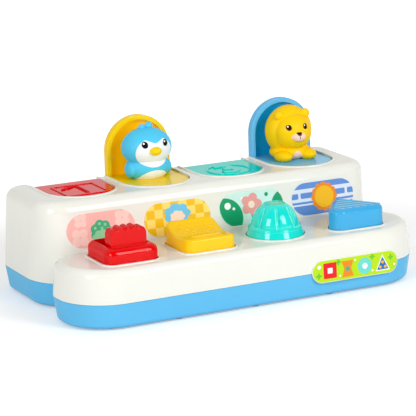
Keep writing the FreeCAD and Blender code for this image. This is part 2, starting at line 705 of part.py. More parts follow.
def shell_slots():
    """Rod slots, open downwards, and the screw holes of the shell."""
    cuts = []
    for x in RIBS:
        half = HINGE_BOSS_HALF + 1
        cuts.append(cylinder_x(x - half, x + half, HINGE_Y, HINGE_Z, ROD_BORE))
        cuts.append(box(x - half, x + half, HINGE_Y - ROD_BORE, HINGE_Y + ROD_BORE,
                        HINGE_Z - HINGE_BOSS_R - 1, HINGE_Z))
        half = RIB_WALL / 2 + SLOT_SIDE_GAP
        cuts.append(box(x - half, x + half, HINGE_Y - ROD_BORE, HINGE_Y + ROD_BORE,
                        REAR_KEEPER_Z, HINGE_Z))
    for x in RIBS[1:-1]:
        half = RIB_WALL / 2 + SLOT_SIDE_GAP
        cuts.append(box(x - half, x + half, LEVER_Y - ROD_BORE, LEVER_Y + ROD_BORE,
                        FRONT_KEEPER_Z, LEVER_Z))
    for lane in LANES:
        for side in (-1, 1):
            x = lane + side * (GUIDE_OFFSET + GUIDE_WALL / 2)
            cuts.append(box(x - GUIDE_WALL, x + GUIDE_WALL, LEVER_Y - ROD_BORE,
                            LEVER_Y + ROD_BORE, GUIDE_LOW_Z - 1, LEVER_Z))
    cuts.append(cylinder_x(-LATCH_ROD_HALF, LATCH_ROD_HALF, LEVER_Y, LEVER_Z, ROD_BORE))
    for points, z in ((keeper_points(False), REAR_KEEPER_Z), (keeper_points(True), FRONT_KEEPER_Z)):
        for x, y in points:
            cuts.append(cylinder_z(x, y, z, z + KEEPER_SCREW + SCREW_ROOM, SCREW_BORE))
    for x, y in post_points():
        cuts.append(cylinder_z(x, y, CARRIER_Z, CARRIER_Z + CARRIER_SCREW + SCREW_ROOM, SCREW_BORE))
    for x, y in housing_screw_points():
        cuts.append(cylinder_z(x, y, SEAM_Z - 1, HOUSING_SCREW_TOP + SCREW_ROOM, SCREW_BORE))
    return cuts


def pill(x0, x1, z0, z1, depth0, depth1, grow=0.0):
    """Horizontal pill prism along Y, from depth0 to depth1."""
    r = (z1 - z0) / 2 + grow
    zc = (z0 + z1) / 2
    a, b = x0 + (z1 - z0) / 2, x1 - (z1 - z0) / 2
    wire = Part.Wire([line((a, depth0, zc - r), (b, depth0, zc - r)),
                      arc((b, depth0, zc - r), (b + r, depth0, zc), (b, depth0, zc + r)),
                      line((b, depth0, zc + r), (a, depth0, zc + r)),
                      arc((a, depth0, zc + r), (a - r, depth0, zc), (a, depth0, zc - r))])
    return Part.Face(wire).extrude(Vector(0, depth1 - depth0, 0))


def badge_pill(grow):
    return pill(BADGE_X0, BADGE_X1, BADGE_Z0, BADGE_Z1, FRONT_Y - 6, FRONT_Y + 10, grow)


def badge_form(grow):
    """Tier form carried on below the seam, for the plaque and its sticker."""
    return tier_form(grow, TIER_TOP_Z, BADGE_Z0 - 4, 0)


def top_shell():
    shell = housing_outer().fuse(opening_beads()).cut(housing_inner(WALL))
    plaque = badge_pill(BADGE_MARGIN).common(badge_form(BADGE_RAISE)).cut(badge_form(-BADGE_BACK))
    shell = shell.fuse(plaque)
    shell = shell.cut(opening_cuts())
    trim = housing_inner(WALL / 2)
    inside = [part.common(trim) for part in shell_ribs()]
    shell = shell.fuse(inside)
    return shell.cut(shell_slots())


def tray_outer():
    return tray_form("block").fuse([tray_form("tier"),
                                    bridge_form(FOOT_STANDOFF, SEAM_Z - SEAM_GAP)])


def tray_cavity():
    floor = FOOT_STANDOFF + TRAY_FLOOR
    edge = TRAY_EDGE_R - WALL
    top = SEAM_Z + 1
    block = tray_form("block", -WALL, floor, edge)
    tier = tray_form("tier", -WALL, floor, edge)
    return block.fuse([tier, bridge_form(floor, top, WALL)])


def lip_form(grow):
    """Cavity outline of the shell near the seam, for the locating lip."""
    low = SEAM_Z - SEAM_GAP - LIP_HEIGHT
    high = SEAM_Z + LIP_HEIGHT
    block = block_form(grow, high, low, 0)
    tier = tier_form(grow, high, low, 0)
    return block.fuse([tier, bridge_form(low, high, -grow)])


def bottom_base():
    tray = tray_outer().cut(tray_cavity())
    lip = lip_form(-WALL - LIP_GAP).cut(lip_form(-WALL - LIP_GAP - LIP_WALL))
    tray = tray.fuse(lip)
    bosses = [boss(x, y, FOOT_STANDOFF + 1, SEAM_Z) for x, y in housing_screw_points()]
    tray = tray.fuse(bosses)
    notch = badge_pill(BADGE_MARGIN + BADGE_GAP).cut(badge_form(-BADGE_BACK - BADGE_GAP))
    cuts = [notch]
    for x, y in housing_screw_points():
        cuts.append(cylinder_z(x, y, 0, COUNTERBORE_Z, COUNTERBORE_R))
        cuts.append(cylinder_z(x, y, 0, SEAM_Z + 1, SCREW_BORE + SCREW_FIT))
    return tray.cut(cuts)


def rear_keeper():
    """Strip below the ribs with posts that close the slots under the hinge rod."""
    z = REAR_KEEPER_Z
    strip = box(-HINGE_ROD_HALF, HINGE_ROD_HALF, HINGE_Y - KEEPER_DEPTH / 2,
                HINGE_Y + KEEPER_DEPTH / 2, z, z + KEEPER_H)
    posts = [box(x - RIB_WALL / 2, x + RIB_WALL / 2, HINGE_Y - KEEPER_POST_HALF,
                 HINGE_Y + KEEPER_POST_HALF, z + 1, HINGE_Z - ROD_BORE) for x in RIBS]
    body = fuse_all([strip] + posts)
    holes = [cylinder_z(x, y, z - 1, z + KEEPER_H + 1, SCREW_BORE) for x, y in keeper_points(False)]
    return body.cut(holes)


def front_keeper():
    """Strip with posts that close the slots under the latch rod."""
    z = FRONT_KEEPER_Z
    strip = box(-LATCH_ROD_HALF, LATCH_ROD_HALF, LEVER_Y - KEEPER_DEPTH / 2,
                LEVER_Y + KEEPER_DEPTH / 2, z, z + KEEPER_H)
    posts = [box(x - GUIDE_WALL / 2, x + GUIDE_WALL / 2, LEVER_Y - KEEPER_POST_HALF,
                 LEVER_Y + KEEPER_POST_HALF, z + 1, LEVER_Z - ROD_BORE) for x in FRONT_POSTS]
    body = fuse_all([strip] + posts)
    holes = [cylinder_z(x, y, z - 1, z + KEEPER_H + 1, SCREW_BORE) for x, y in keeper_points(True)]
    return body.cut(holes)


# ================================================================ flaps
def mark_wire(kind, z):
    """Outline of the raised shape on a flap, centred on the flap."""
    r, y = MARK_RADIUS, -MARK_SETBACK
    if kind == "circle":
        return Part.Wire(Part.Circle(Vector(0, y, z), Vector(0, 0, 1), r).toShape())
    if kind == "square":
        points = ((-r, -r), (r, -r), (r, r), (-r, r))
    elif kind == "triangle":
        points = ((-r, -0.8 * r), (r, -0.8 * r), (0, r))
    else:
        points = ((-0.8 * r, -r), (0.8 * r, -r), (0.45 * r, 0), (0.8 * r, r), (-0.8 * r, r),
                  (-0.45 * r, 0))
    vectors = [Vector(px, y + py, z) for px, py in points]
    return Part.makePolygon(vectors + vectors[:1])


def flap(kind):
    """Flap in its closed pose about the hinge axis."""
    top = HINGE_DROP
    outline = prism(arch_wire(FLAP_HALF, FLAP_STRAIGHT, 0, top - FLAP_THICK), FLAP_THICK)
    rounds = [e for e in edges_at(outline, top) + edges_at(outline, top - FLAP_THICK)
              if e.BoundBox.YMin < -0.01]
    outline = outline.makeFillet(FLAP_EDGE_R, rounds)
    recess = prism(arch_wire(FLAP_HALF - FLAP_RIM, FLAP_STRAIGHT, 1, top - FLAP_THICK - 1),
                   FLAP_THICK + 1 - FLAP_SKIN)
    arch = outline.cut(recess)
    leaf = prism(arch_wire(FLAP_HALF - FLOOR_TIP_GAP, FLAP_STRAIGHT, top - FLAP_SKIN / 2,
                           FLOOR_TOP - FLOOR_THICK), FLOOR_THICK)
    hole = cylinder_z(0, -FIGURE_SETBACK, 0, FLOOR_TOP + 1, SCREW_BORE + SCREW_FIT)
    parts = [turned_x(leaf.cut(hole), 90)]
    for side in (-1, 1):
        x0, x1 = sorted((side * FLAP_HALF, side * (FLAP_HALF - KNUCKLE_LEN)))
        parts.append(box(x0, x1, -FLOOR_TOP, 0, 0, top - FLAP_EDGE_R))
        parts.append(cylinder_x(x0, x1, 0, 0, KNUCKLE_R))
    outer = mark_wire(kind, top - MARK_EMBED)
    ring = prism(outer, MARK_EMBED + MARK_HEIGHT).cut(
        prism(outer.makeOffset2D(-MARK_WIDTH), MARK_EMBED + MARK_HEIGHT))
    body = arch.fuse(parts + [ring])
    slot = box(-SLOT_HALF, SLOT_HALF, -FLAP_DEPTH - 1, -FLAP_DEPTH + SLOT_DEPTH, SLOT_LOW, SLOT_HIGH)
    bore = cylinder_x(-FLAP_HALF - 1, FLAP_HALF + 1, 0, 0, ROD_BORE)
    return body.cut([slot, bore])


# ---------------------------------------------------------------- figures
# Each row is (x, y, height, rx, ry, rz): an ellipsoid above the floor leaf, the
# figure facing -Y with its centre at the origin.
PENGUIN = (
    (0, -0.5, 9.5, 20.5, 16.5, 13.0),          # body
    (0, 0.0, 27.2, 23.0, 19.5, 17.5),          # head
    (-16.8, -2.0, 8.5, 5.0, 8.0, 7.0),         # wings
    (16.8, -2.0, 8.5, 5.0, 8.0, 7.0),
    (-3.6, 0.5, 45.2, 3.3, 2.8, 2.6),          # tuft
    (3.0, 0.5, 46.0, 3.8, 2.9, 3.0),
    (0, -19.4, 26.4, 5.5, 4.4, 3.7),           # beak
)
LION = (
    (0, 1.0, 6.5, 19.4, 15.5, 8.6),            # body
    (0, 3.0, 25.4, 22.6, 15.9, 23.2),          # mane
    (0, -4.8, 25.0, 18.2, 14.8, 17.2),         # face
    (0, -17.4, 22.4, 7.0, 4.4, 4.9),           # muzzle
    (-13.2, -4.5, 40.8, 4.6, 3.4, 4.4),        # ears
    (13.2, -4.5, 40.8, 4.6, 3.4, 4.4),
    (-12.4, -9.6, 4.2, 8.0, 10.0, 5.4),        # paws
    (12.4, -9.6, 4.2, 8.0, 10.0, 5.4),
)
CROCODILE = (
    (0, 0.0, 9.0, 18.0, 15.5, 12.5),           # body
    (0, 1.0, 27.0, 19.0, 17.0, 16.5),          # head
    (0, -13.0, 22.5, 13.5, 11.5, 8.5),         # snout
    (-8.5, -2.0, 41.5, 5.0, 5.0, 5.0),         # brows
    (8.5, -2.0, 41.5, 5.0, 5.0, 5.0),
    (-10.5, -11.0, 3.8, 6.5, 8.5, 4.8),        # feet
    (10.5, -11.0, 3.8, 6.5, 8.5, 4.8),
)
HIPPO = (
    (0, 0.5, 9.0, 19.5, 15.5, 13.0),           # body
    (0, 2.0, 29.0, 17.5, 15.5, 16.0),          # head
    (0, -9.5, 21.5, 19.0, 12.5, 10.0),         # snout
    (-10.5, 1.0, 43.0, 3.8, 3.8, 3.8),         # ears
    (10.5, 1.0, 43.0, 3.8, 3.8, 3.8),
    (-10.5, -11.0, 3.8, 6.5, 8.5, 4.8),        # feet
    (10.5, -11.0, 3.8, 6.5, 8.5, 4.8),
)


def figure(rows):
    """Animal of fused ellipsoids standing on its floor leaf, flap closed pose."""
    bodies = [ellipsoid(row[:3], row[3:]) for row in rows]
    body = bodies[0]
    for other in bodies[1:]:
        body = body.fuse(other)
    reach = FLAP_DEPTH
    body = body.cut(box(-reach, reach, -reach, reach, -reach, 0))
    body = body.cut(cylinder_z(0, 0, -1, FIGURE_SCREW - FLOOR_THICK + SCREW_ROOM, SCREW_BORE))
    body.translate(Vector(0, -FIGURE_SETBACK, FLOOR_TOP))
    return turned_x(body, 90)


def figure_screw():
    """Screw that holds a figure, flap closed pose."""
    return turned_x(screw(0, -FIGURE_SETBACK, FLOOR_TOP - FLOOR_THICK, FIGURE_SCREW), 90)


def flap_spring():
    """Torsion spring round the hinge rod beside the left knuckle, closed pose.

    Its front tail bears on the floor leaf and its rear tail on the shell's ledge."""
    body = coil(FLAP_SPRING_R, FLAP_SPRING_TURNS, FLAP_SPRING_PITCH,
                FLOOR_TOP - FLOOR_THICK, FLAP_SPRING_TAIL)
    body.rotate(Vector(0, 0, 0), Vector(0, 1, 0), 90)
    return moved(body, -FLAP_SPRING_X, 0, 0)


def place(shape, lane, opened):
    """Move a shape drawn about the hinge axis, flap closed, to its lane."""
    turned = turned_x(shape, -90 if opened else 0)
    return moved(turned, lane, HINGE_Y, HINGE_Z)


# ================================================================ latch levers
def latch_lever(lane, beam_end, extra):
    """Bell crank: upright arm with a nose, hub, and a beam that runs forward."""
    y0 = LEVER_Y - LEVER_ARM / 2
    y1 = LEVER_Y + LEVER_ARM / 2
    nose_tip = HINGE_Y - FLAP_DEPTH - LEVER_NOSE_GAP
    nose_z0 = HINGE_Z + (SLOT_LOW + SLOT_HIGH) / 2 - LEVER_NOSE_H / 2
    nose_z1 = nose_z0 + LEVER_NOSE_H
    beam_low = LEVER_BEAM_TOP - LEVER_BEAM_H
    points = [(y1, beam_low), (y1, nose_z0), (nose_tip, nose_z0), (nose_tip, nose_z1),
              (y1 - LEVER_NOSE_ROOT, nose_z1), (y1 - LEVER_NOSE_ROOT, LEVER_ARM_TOP),
              (y0, LEVER_ARM_TOP - 2), (y0, LEVER_BEAM_TOP + LEVER_GUSSET),
              (y0 - LEVER_GUSSET, LEVER_BEAM_TOP), (beam_end, LEVER_BEAM_TOP),
              (beam_end, beam_low + 1), (beam_end + 1, beam_low)]
    body = profile_x(points, lane - LEVER_HALF, lane + LEVER_HALF)
    hub = cylinder_x(lane - LEVER_HALF, lane + LEVER_HALF, LEVER_Y, LEVER_Z, LEVER_HUB_R)
    body = fuse_all([body, hub] + extra)
    half = LEVER_HALF + 1
    return body.cut(cylinder_x(lane - half, lane + half, LEVER_Y, LEVER_Z, ROD_BORE))


def slider_wedge():
    """Ramp on the slider's lever, rising to the rear under the moving foot."""
    y0 = SLIDER_BAR_Y
    y1 = y0 + SLIDER_TRAVEL
    top = LEVER_BEAM_TOP
    points = [(y0, top - 1), (y0, top), (y1, top + SLIDER_WEDGE_RISE),
              (y1 + 3, top + SLIDER_WEDGE_RISE), (y1 + 5, top - 1)]
    return profile_x(points, SLIDER_X - LEVER_HALF, SLIDER_X + LEVER_HALF)


def knob_pad():
    """Narrow round-topped pad that rides under the knob's cam ring."""
    y = BUTTON_Y + KNOB_CAM_R
    pad = box(KNOB_X - CAM_PAD, KNOB_X + CAM_PAD, y - CAM_PAD, y + CAM_PAD,
              LEVER_BEAM_TOP - 1, LEVER_BEAM_TOP + CAM_LIFT)
    return pad.makeFillet(CAM_PAD_R, edges_at(pad, LEVER_BEAM_TOP + CAM_LIFT))


def latch_levers():
    return [latch_lever(SLIDER_X, BEAM_END_SLIDER, [slider_wedge()]),
            latch_lever(ROCKER_X, BEAM_END_ROCKER, []),
            latch_lever(KNOB_X, BEAM_END_KNOB, [knob_pad()]),
            latch_lever(PUSH_X, BEAM_END_PUSH, [])]


def latch_spring(lane):
    low = CARRIER_TOP + SPRING_WIRE
    high = LEVER_BEAM_TOP - LEVER_BEAM_H - SPRING_WIRE
    turns = coil(LATCH_SPRING_R, LATCH_SPRING_TURNS, (high - low) / LATCH_SPRING_TURNS)
    return moved(turns, lane, LATCH_SPRING_Y, low)


# ================================================================ controls
def flange(outline):
    """Retaining flange below the shell on a closed outline."""
    return prism(outline, FLANGE_THICK)


def slider_track():
    x0, y0 = SLIDER_X, BUTTON_Y
    low = CONTROL_SKIRT_Z
    body = prism(round_rect(CONTROL_HALF, CONTROL_HALF, CONTROL_CORNER, low, x0, y0),
                 SLIDER_TOP_Z - low)
    body = body.makeFillet(SLIDER_EDGE_R, edges_at(body, SLIDER_TOP_Z))
    trough = box(x0 - TROUGH_HALF, x0 + TROUGH_HALF, TROUGH_FRONT_Y, TROUGH_REAR_Y,
                 TROUGH_FLOOR_Z, SLIDER_TOP_Z + 5)
    corners = [e for e in trough.Edges if e.BoundBox.ZLength > 5]
    trough = trough.makeFillet(TROUGH_CORNER_R, corners)
    half = CONTROL_HALF - CONTROL_WALL
    hollow = prism(round_rect(half, half, CONTROL_CORNER - CONTROL_WALL, low - 1, x0, y0),
                   SLIDER_FLOOR_UNDER - low + 1)
    neck_half = SLIDER_NECK_HALF + SLIDER_NECK_FIT
    slot = box(x0 - neck_half, x0 + neck_half,
               SLIDER_BAR_Y - SLIDER_NECK_DEPTH / 2 - SLIDER_NECK_FIT,
               SLIDER_BAR_Y + SLIDER_TRAVEL + SLIDER_NECK_DEPTH / 2 + SLIDER_NECK_FIT,
               SLIDER_FLOOR_UNDER - 2, TROUGH_FLOOR_Z + 2)
    outer = flange(round_rect(CONTROL_HALF + FLANGE_OUT, CONTROL_HALF + FLANGE_OUT,
                              CONTROL_CORNER + FLANGE_OUT, FLANGE_TOP - FLANGE_THICK, x0, y0))
    legs = []
    for sx in (-1, 1):
        for sy in (-1, 1):
            x = x0 + sx * (CONTROL_HALF - TRACK_LEG_IN)
            y = y0 + sy * (CONTROL_HALF - TRACK_LEG_IN)
            legs.append(box(x - TRACK_LEG / 2, x + TRACK_LEG / 2, y - TRACK_LEG / 2,
                            y + TRACK_LEG / 2, CARRIER_TOP, SLIDER_FLOOR_UNDER))
    body = body.fuse(outer).cut([hollow, trough, slot])
    return body.fuse(legs).removeSplitter()


def slider_bar():
    x0, y0 = SLIDER_X, SLIDER_BAR_Y
    d = SLIDER_BAR_DEPTH / 2
    low = TROUGH_FLOOR_Z + SLIDER_BAR_GAP
    grip_axis_z = SLIDER_BAR_TOP_Z - GRIP_R
    bar = box(x0 - SLIDER_BAR_HALF, x0 + SLIDER_BAR_HALF, y0 - d, y0 + d, low, grip_axis_z + 1)
    shoulders = [e for e in bar.Edges if e.BoundBox.YLength > d and e.BoundBox.ZMin > grip_axis_z]
    bar = bar.makeFillet(BAR_SHOULDER_R, shoulders)
    ridges = []
    for i in range(GRIP_COUNT):
        x = x0 + (i - (GRIP_COUNT - 1) / 2) * GRIP_PITCH
        drop = GRIP_DROP if i in (0, GRIP_COUNT - 1) else 0.0
        ridges.append(Part.makeCylinder(GRIP_R, SLIDER_BAR_DEPTH,
                                        Vector(x, y0 - d, grip_axis_z - drop), Vector(0, 1, 0)))
    bar = fuse_all([bar] + ridges)
    faces = [e for e in bar.Edges if e.BoundBox.YLength < 0.01 and e.BoundBox.ZMin > low + 0.1]
    bar = bar.makeFillet(GRIP_EDGE_R, faces)
    n = SLIDER_NECK_DEPTH / 2
    upper = box(x0 - SLIDER_NECK_HALF, x0 + SLIDER_NECK_HALF, y0 - n, y0 + n,
                NECK_STEP_Z, low + 1)
    half = SLIDER_NECK_HALF - SLIDER_NECK_STEP
    lower = box(x0 - half, x0 + half, y0 - n, y0 + n, FOOT_Z + n, NECK_STEP_Z + 1)
    foot = cylinder_x(x0 - half, x0 + half, y0, FOOT_Z + n, n)
    return fuse_all([bar, upper, lower, foot])


def slider_keeper():
    """Plate pressed on the slider's neck below the track."""
    x0, y0 = SLIDER_X, SLIDER_BAR_Y
    z1 = NECK_STEP_Z
    plate = prism(round_rect(KEEPER_PLATE_HALF, KEEPER_PLATE_DEPTH / 2, 2.0,
                             z1 - KEEPER_PLATE_THICK, x0, y0), KEEPER_PLATE_THICK)
    half = SLIDER_NECK_HALF - SLIDER_NECK_STEP + SCREW_FIT
    n = SLIDER_NECK_DEPTH / 2 + SCREW_FIT
    return plate.cut(box(x0 - half, x0 + half, y0 - n, y0 + n, z1 - 5, z1 + 1))


def ramp_points():
    """Three (y, z) points of the rocker's concave thumb ramp, from the brow forwards."""
    brow = BUTTON_Y + CONTROL_HALF - ROCKER_BROW
    dip = BUTTON_Y - CONTROL_HALF + ROCKER_DIP_IN
    middle = (brow - ROCKER_RAMP_IN, ROCKER_DIP_Z + ROCKER_RAMP_RISE)
    return (brow, ROCKER_REAR_Z), middle, (dip, ROCKER_DIP_Z)


def ramp_height(y):
    """Height of the rocker's thumb ramp at y."""
    cy, cz, r = circle_through(*ramp_points())
    return cz - math.sqrt(r * r - (y - cy) ** 2)


def rocker_section(x0, x1):
    """Side profile of the rocker: tall brow, concave ramp, low front."""
    rear = BUTTON_Y + CONTROL_HALF
    front = BUTTON_Y - CONTROL_HALF
    low = CONTROL_SKIRT_Z
    start, middle, lowest = [(x0, y, z) for y, z in ramp_points()]
    lip = (x0, front + ROCKER_TAPER, ROCKER_FRONT_Z)
    edges = [line((x0, rear, low), (x0, rear, ROCKER_REAR_Z)),
             line((x0, rear, ROCKER_REAR_Z), start),
             arc(start, middle, lowest),
             line(lowest, lip),
             line(lip, (x0, front, low)),
             line((x0, front, low), (x0, rear, low))]
    return Part.Face(Part.Wire(edges)).extrude(Vector(x1 - x0, 0, 0))


def rocker_grips():
    """Finger bars near the front and dots up the ramp."""
    grips = []
    front = BUTTON_Y - CONTROL_HALF
    for i in range(BAR_COUNT):
        y = front + BAR_FIRST + BAR_PITCH * i
        grips.append(cylinder_x(ROCKER_X - BAR_HALF, ROCKER_X + BAR_HALF, y,
                                ROCKER_DIP_Z + BAR_R - BAR_SINK, BAR_R))
    for back, count in DOT_ROWS:
        y = BUTTON_Y + back
        for i in range(count):
            x = ROCKER_X + (i - (count - 1) / 2) * DOT_PITCH
            grips.append(moved(Part.makeSphere(DOT_R), x, y, ramp_height(y) - DOT_SINK))
    return grips


def control_foot(x, y, roof):
    """Round-ended foot that bears on a lever beam, up to the control's roof."""
    z = FOOT_Z + CONTROL_FOOT_R
    x0, x1 = x - CONTROL_FOOT_HALF, x + CONTROL_FOOT_HALF
    post = box(x0, x1, y - CONTROL_FOOT_R, y + CONTROL_FOOT_R, z, roof)
    return post.fuse(cylinder_x(x0, x1, y, z, CONTROL_FOOT_R))


def rocker_button():
    x0, y0 = ROCKER_X, BUTTON_Y
    low = CONTROL_SKIRT_Z
    front, rear = y0 - CONTROL_HALF, y0 + CONTROL_HALF
    wires = []
    for grow, z in ((0.0, low), (-ROCKER_TAPER, ROCKER_REAR_Z + ROCKER_CAP)):
        wires.append(round_rect(CONTROL_HALF + grow, CONTROL_HALF + grow / 2,
                                CONTROL_CORNER + grow, z, x0, y0))
    outline = Part.makeLoft(wires, True, True)
    body = outline.common(rocker_section(x0 - CONTROL_HALF - 1, x0 + CONTROL_HALF + 1))
    cross = [e for e in body.Edges if e.BoundBox.XLength > CONTROL_HALF
             and e.BoundBox.YLength < 0.1 and e.BoundBox.YMin > front + CONTROL_WALL
             and e.BoundBox.YMax < rear - CONTROL_WALL]
    rim = [e for e in body.Edges if e.BoundBox.ZMin > ROCKER_DIP_Z - ROCKER_EDGE_R
           and not any(e.isSame(c) for c in cross)]
    body = body.makeFillet(ROCKER_EDGE_R, rim)
    half = CONTROL_HALF - CONTROL_WALL
    hollow = prism(round_rect(half, half, CONTROL_CORNER - CONTROL_WALL, low - 1, x0, y0),
                   ROCKER_DIP_Z - ROCKER_ROOF - low + 1)
    body = body.cut(hollow)
    lugs = []
    for side in (-1, 1):
        xa, xb = sorted((x0 + side * CONTROL_HALF, x0 + side * (CONTROL_HALF - ROCKER_LUG_WALL)))
        lugs.append(box(xa, xb, ROCKER_PIVOT_Y - ROCKER_LUG, ROCKER_PIVOT_Y + ROCKER_LUG_REAR,
                        ROCKER_PIVOT_Z - ROCKER_LUG, FLANGE_TOP))
    stop = box(x0 - ROCKER_STOP_HALF, x0 + ROCKER_STOP_HALF, front - FLANGE_OUT,
               front + CONTROL_WALL, FLANGE_TOP - FLANGE_THICK, FLANGE_TOP)
    foot = control_foot(x0, ROCKER_FOOT_Y, ROCKER_DIP_Z - 1)
    body = fuse_all([body, foot, stop] + lugs + rocker_grips())
    return body.cut(rocker_bore())


def rocker_bore():
    """Bore for the rocker's pin, through lugs and towers."""
    return cylinder_x(ROCKER_X - ROCKER_PIN_HALF - 1, ROCKER_X + ROCKER_PIN_HALF + 1,
                      ROCKER_PIVOT_Y, ROCKER_PIVOT_Z, ROD_BORE)


def circle_through(a, b, c):
    """Centre and radius of the circle through three points of a plane."""
    d = 2 * (a[0] * (b[1] - c[1]) + b[0] * (c[1] - a[1]) + c[0] * (a[1] - b[1]))
    sa, sb, sc = (p[0] ** 2 + p[1] ** 2 for p in (a, b, c))
    x = (sa * (b[1] - c[1]) + sb * (c[1] - a[1]) + sc * (a[1] - b[1])) / d
    y = (sa * (c[0] - b[0]) + sb * (a[0] - c[0]) + sc * (b[0] - a[0])) / d
    return x, y, math.hypot(a[0] - x, a[1] - y)


def rocker_pin():
    return cylinder_x(ROCKER_X - ROCKER_PIN_HALF, ROCKER_X + ROCKER_PIN_HALF,
                      ROCKER_PIVOT_Y, ROCKER_PIVOT_Z, ROD_R)


def revolve_z(points):
    """Solid of revolution about Z from (r, z) points; arcs are 3-point tuples."""
    edges = []
    last = points[0]
    for item in points[1:]:
        if len(item) == 4:
            mid, end = item[:2], item[2:]
            edges.append(arc((last[0], 0, last[1]), (mid[0], 0, mid[1]), (end[0], 0, end[1])))
            last = end
        else:
            edges.append(line((last[0], 0, last[1]), (item[0], 0, item[1])))
            last = item
    edges.append(line((last[0], 0, last[1]), (points[0][0], 0, points[0][1])))
    face = Part.Face(Part.Wire(edges))
    return face.revolve(Vector(0, 0, 0), Vector(0, 0, 1), 360)


def knob_envelope(shrink):
    """Dome of the knob, or its hollow when shrink is the wall."""
    low = CONTROL_SKIRT_Z - (1 if shrink else 0)
    top = KNOB_TOP_Z - KNOB_HUB_STEP - shrink
    return revolve_z([
        (0, low), (KNOB_R - shrink, low), (KNOB_R - shrink, TIER_TOP_Z + KNOB_SKIRT_LIFT),
        (KNOB_FLARE_R - shrink, KNOB_FLARE_Z),
        (KNOB_LIP_R - shrink, KNOB_LIP_Z, KNOB_DOME_R - shrink, KNOB_DOME_Z),
        (KNOB_CROWN_R - shrink, KNOB_CROWN_Z - shrink, KNOB_HUB_R - shrink, top),
        (0, top)])


def knob_flutes():
    """Round cutters down the dome, spaced evenly about the axis."""
    flutes = []
    top = Vector(KNOB_HUB_R + FLUTE_TOP_OUT, 0, KNOB_TOP_Z + FLUTE_TOP_UP)
    foot = Vector(KNOB_DOME_R + FLUTE_FOOT_OUT, 0, KNOB_DOME_Z)
    for i in range(KNOB_FLUTES):
        groove = Part.makeCylinder(KNOB_FLUTE_R, (top - foot).Length, foot, top - foot)
        groove.rotate(Vector(0, 0, 0), Vector(0, 0, 1), (i + 0.5) * 360 / KNOB_FLUTES)
        flutes.append(groove)
    return flutes


def cam_ring():
    """Ring below the dome with an inclined lower face, trimmed to the knob's form."""
    ring_in = KNOB_CAM_R - KNOB_CAM_WALL / 2
    low = CARRIER_TOP + 1
    roof = KNOB_TOP_Z - KNOB_HUB_THICK
    ring = cylinder_z(0, 0, low, roof, ring_in + KNOB_CAM_WALL).cut(
        cylinder_z(0, 0, low - 1, roof + 1, ring_in))
    filled = knob_envelope(CAM_TRIM).fuse(cylinder_z(0, 0, low, CONTROL_SKIRT_Z, KNOB_R))
    return ring.cut(cam_cutter()).common(filled)


def twist_knob():
    body = knob_envelope(0.0).cut(knob_envelope(CONTROL_WALL)).cut(knob_flutes())
    hub = cylinder_z(0, 0, KNOB_TOP_Z - KNOB_HUB_THICK, KNOB_TOP_Z, KNOB_HUB_R)
    hub = hub.makeFillet(KNOB_HUB_EDGE_R, edges_at(hub, KNOB_TOP_Z))
    recess = cylinder_z(0, 0, KNOB_TOP_Z - KNOB_HUB_RECESS, KNOB_TOP_Z + 1,
                        KNOB_HUB_R - KNOB_HUB_RING)
    roof = KNOB_TOP_Z - KNOB_HUB_THICK
    spindle = cylinder_z(0, 0, CARRIER_Z, roof, KNOB_SPINDLE_R)
    collar = cylinder_z(0, 0, KNOB_TUBE_TOP_Z, roof, KNOB_TUBE_R)
    body = fuse_all([body, hub, cam_ring(), spindle, collar])
    hole = cylinder_z(0, 0, CARRIER_Z - 1, CARRIER_Z + KNOB_SCREW, SCREW_BORE)
    return moved(body.cut([recess, hole]), KNOB_X, BUTTON_Y, 0)


def cam_cutter():
    """Half-space below the inclined plane of the cam ring.

    Turning the knob by KNOB_TURN lowers the face over the lever's pad by CAM_LIFT."""
    start = LEVER_BEAM_TOP + CAM_LIFT + TOUCH_GAP
    slope = CAM_LIFT / KNOB_CAM_R
    half_turn = math.radians(KNOB_TURN)
    gx, gy = -slope * math.sin(half_turn), slope * math.cos(half_turn)
    mid = start - CAM_LIFT / 2
    corners = []
    for x, y in ((-KNOB_R, -KNOB_R), (KNOB_R, -KNOB_R), (KNOB_R, KNOB_R), (-KNOB_R, KNOB_R)):
        corners.append(Vector(x, y, mid + gx * x + gy * y))
    face = Part.Face(Part.makePolygon(corners + corners[:1]))
    return face.extrude(Vector(0, 0, -start))


def knob_washer():
    return cylinder_z(KNOB_X, BUTTON_Y, CARRIER_Z - WASHER_THICK, CARRIER_Z, KNOB_TUBE_R).cut(
        cylinder_z(KNOB_X, BUTTON_Y, CARRIER_Z - WASHER_THICK - 1, CARRIER_Z + 1, SCREW_BORE))


def push_ridges():
    """Grip ridges across the push button's top, shorter towards its point."""
    cx, cy, ay, nx, ny = triangle_frame()
    ridges = []
    for i in range(PUSH_RIDGES):
        y = PUSH_FRONT_Y + PUSH_RIDGE_FIRST + i * PUSH_RIDGE_PITCH
        side = cx * (ay - y) / (ay - cy) + PUSH_CORNER / nx
        half = min(side, PUSH_HALF) - PUSH_EDGE_R - PUSH_RIDGE_MARGIN
        ridges.append(cylinder_x(PUSH_X - half, PUSH_X + half, y, PUSH_TOP_Z - PUSH_RIDGE_SINK,
                                 PUSH_RIDGE_R))
    return ridges


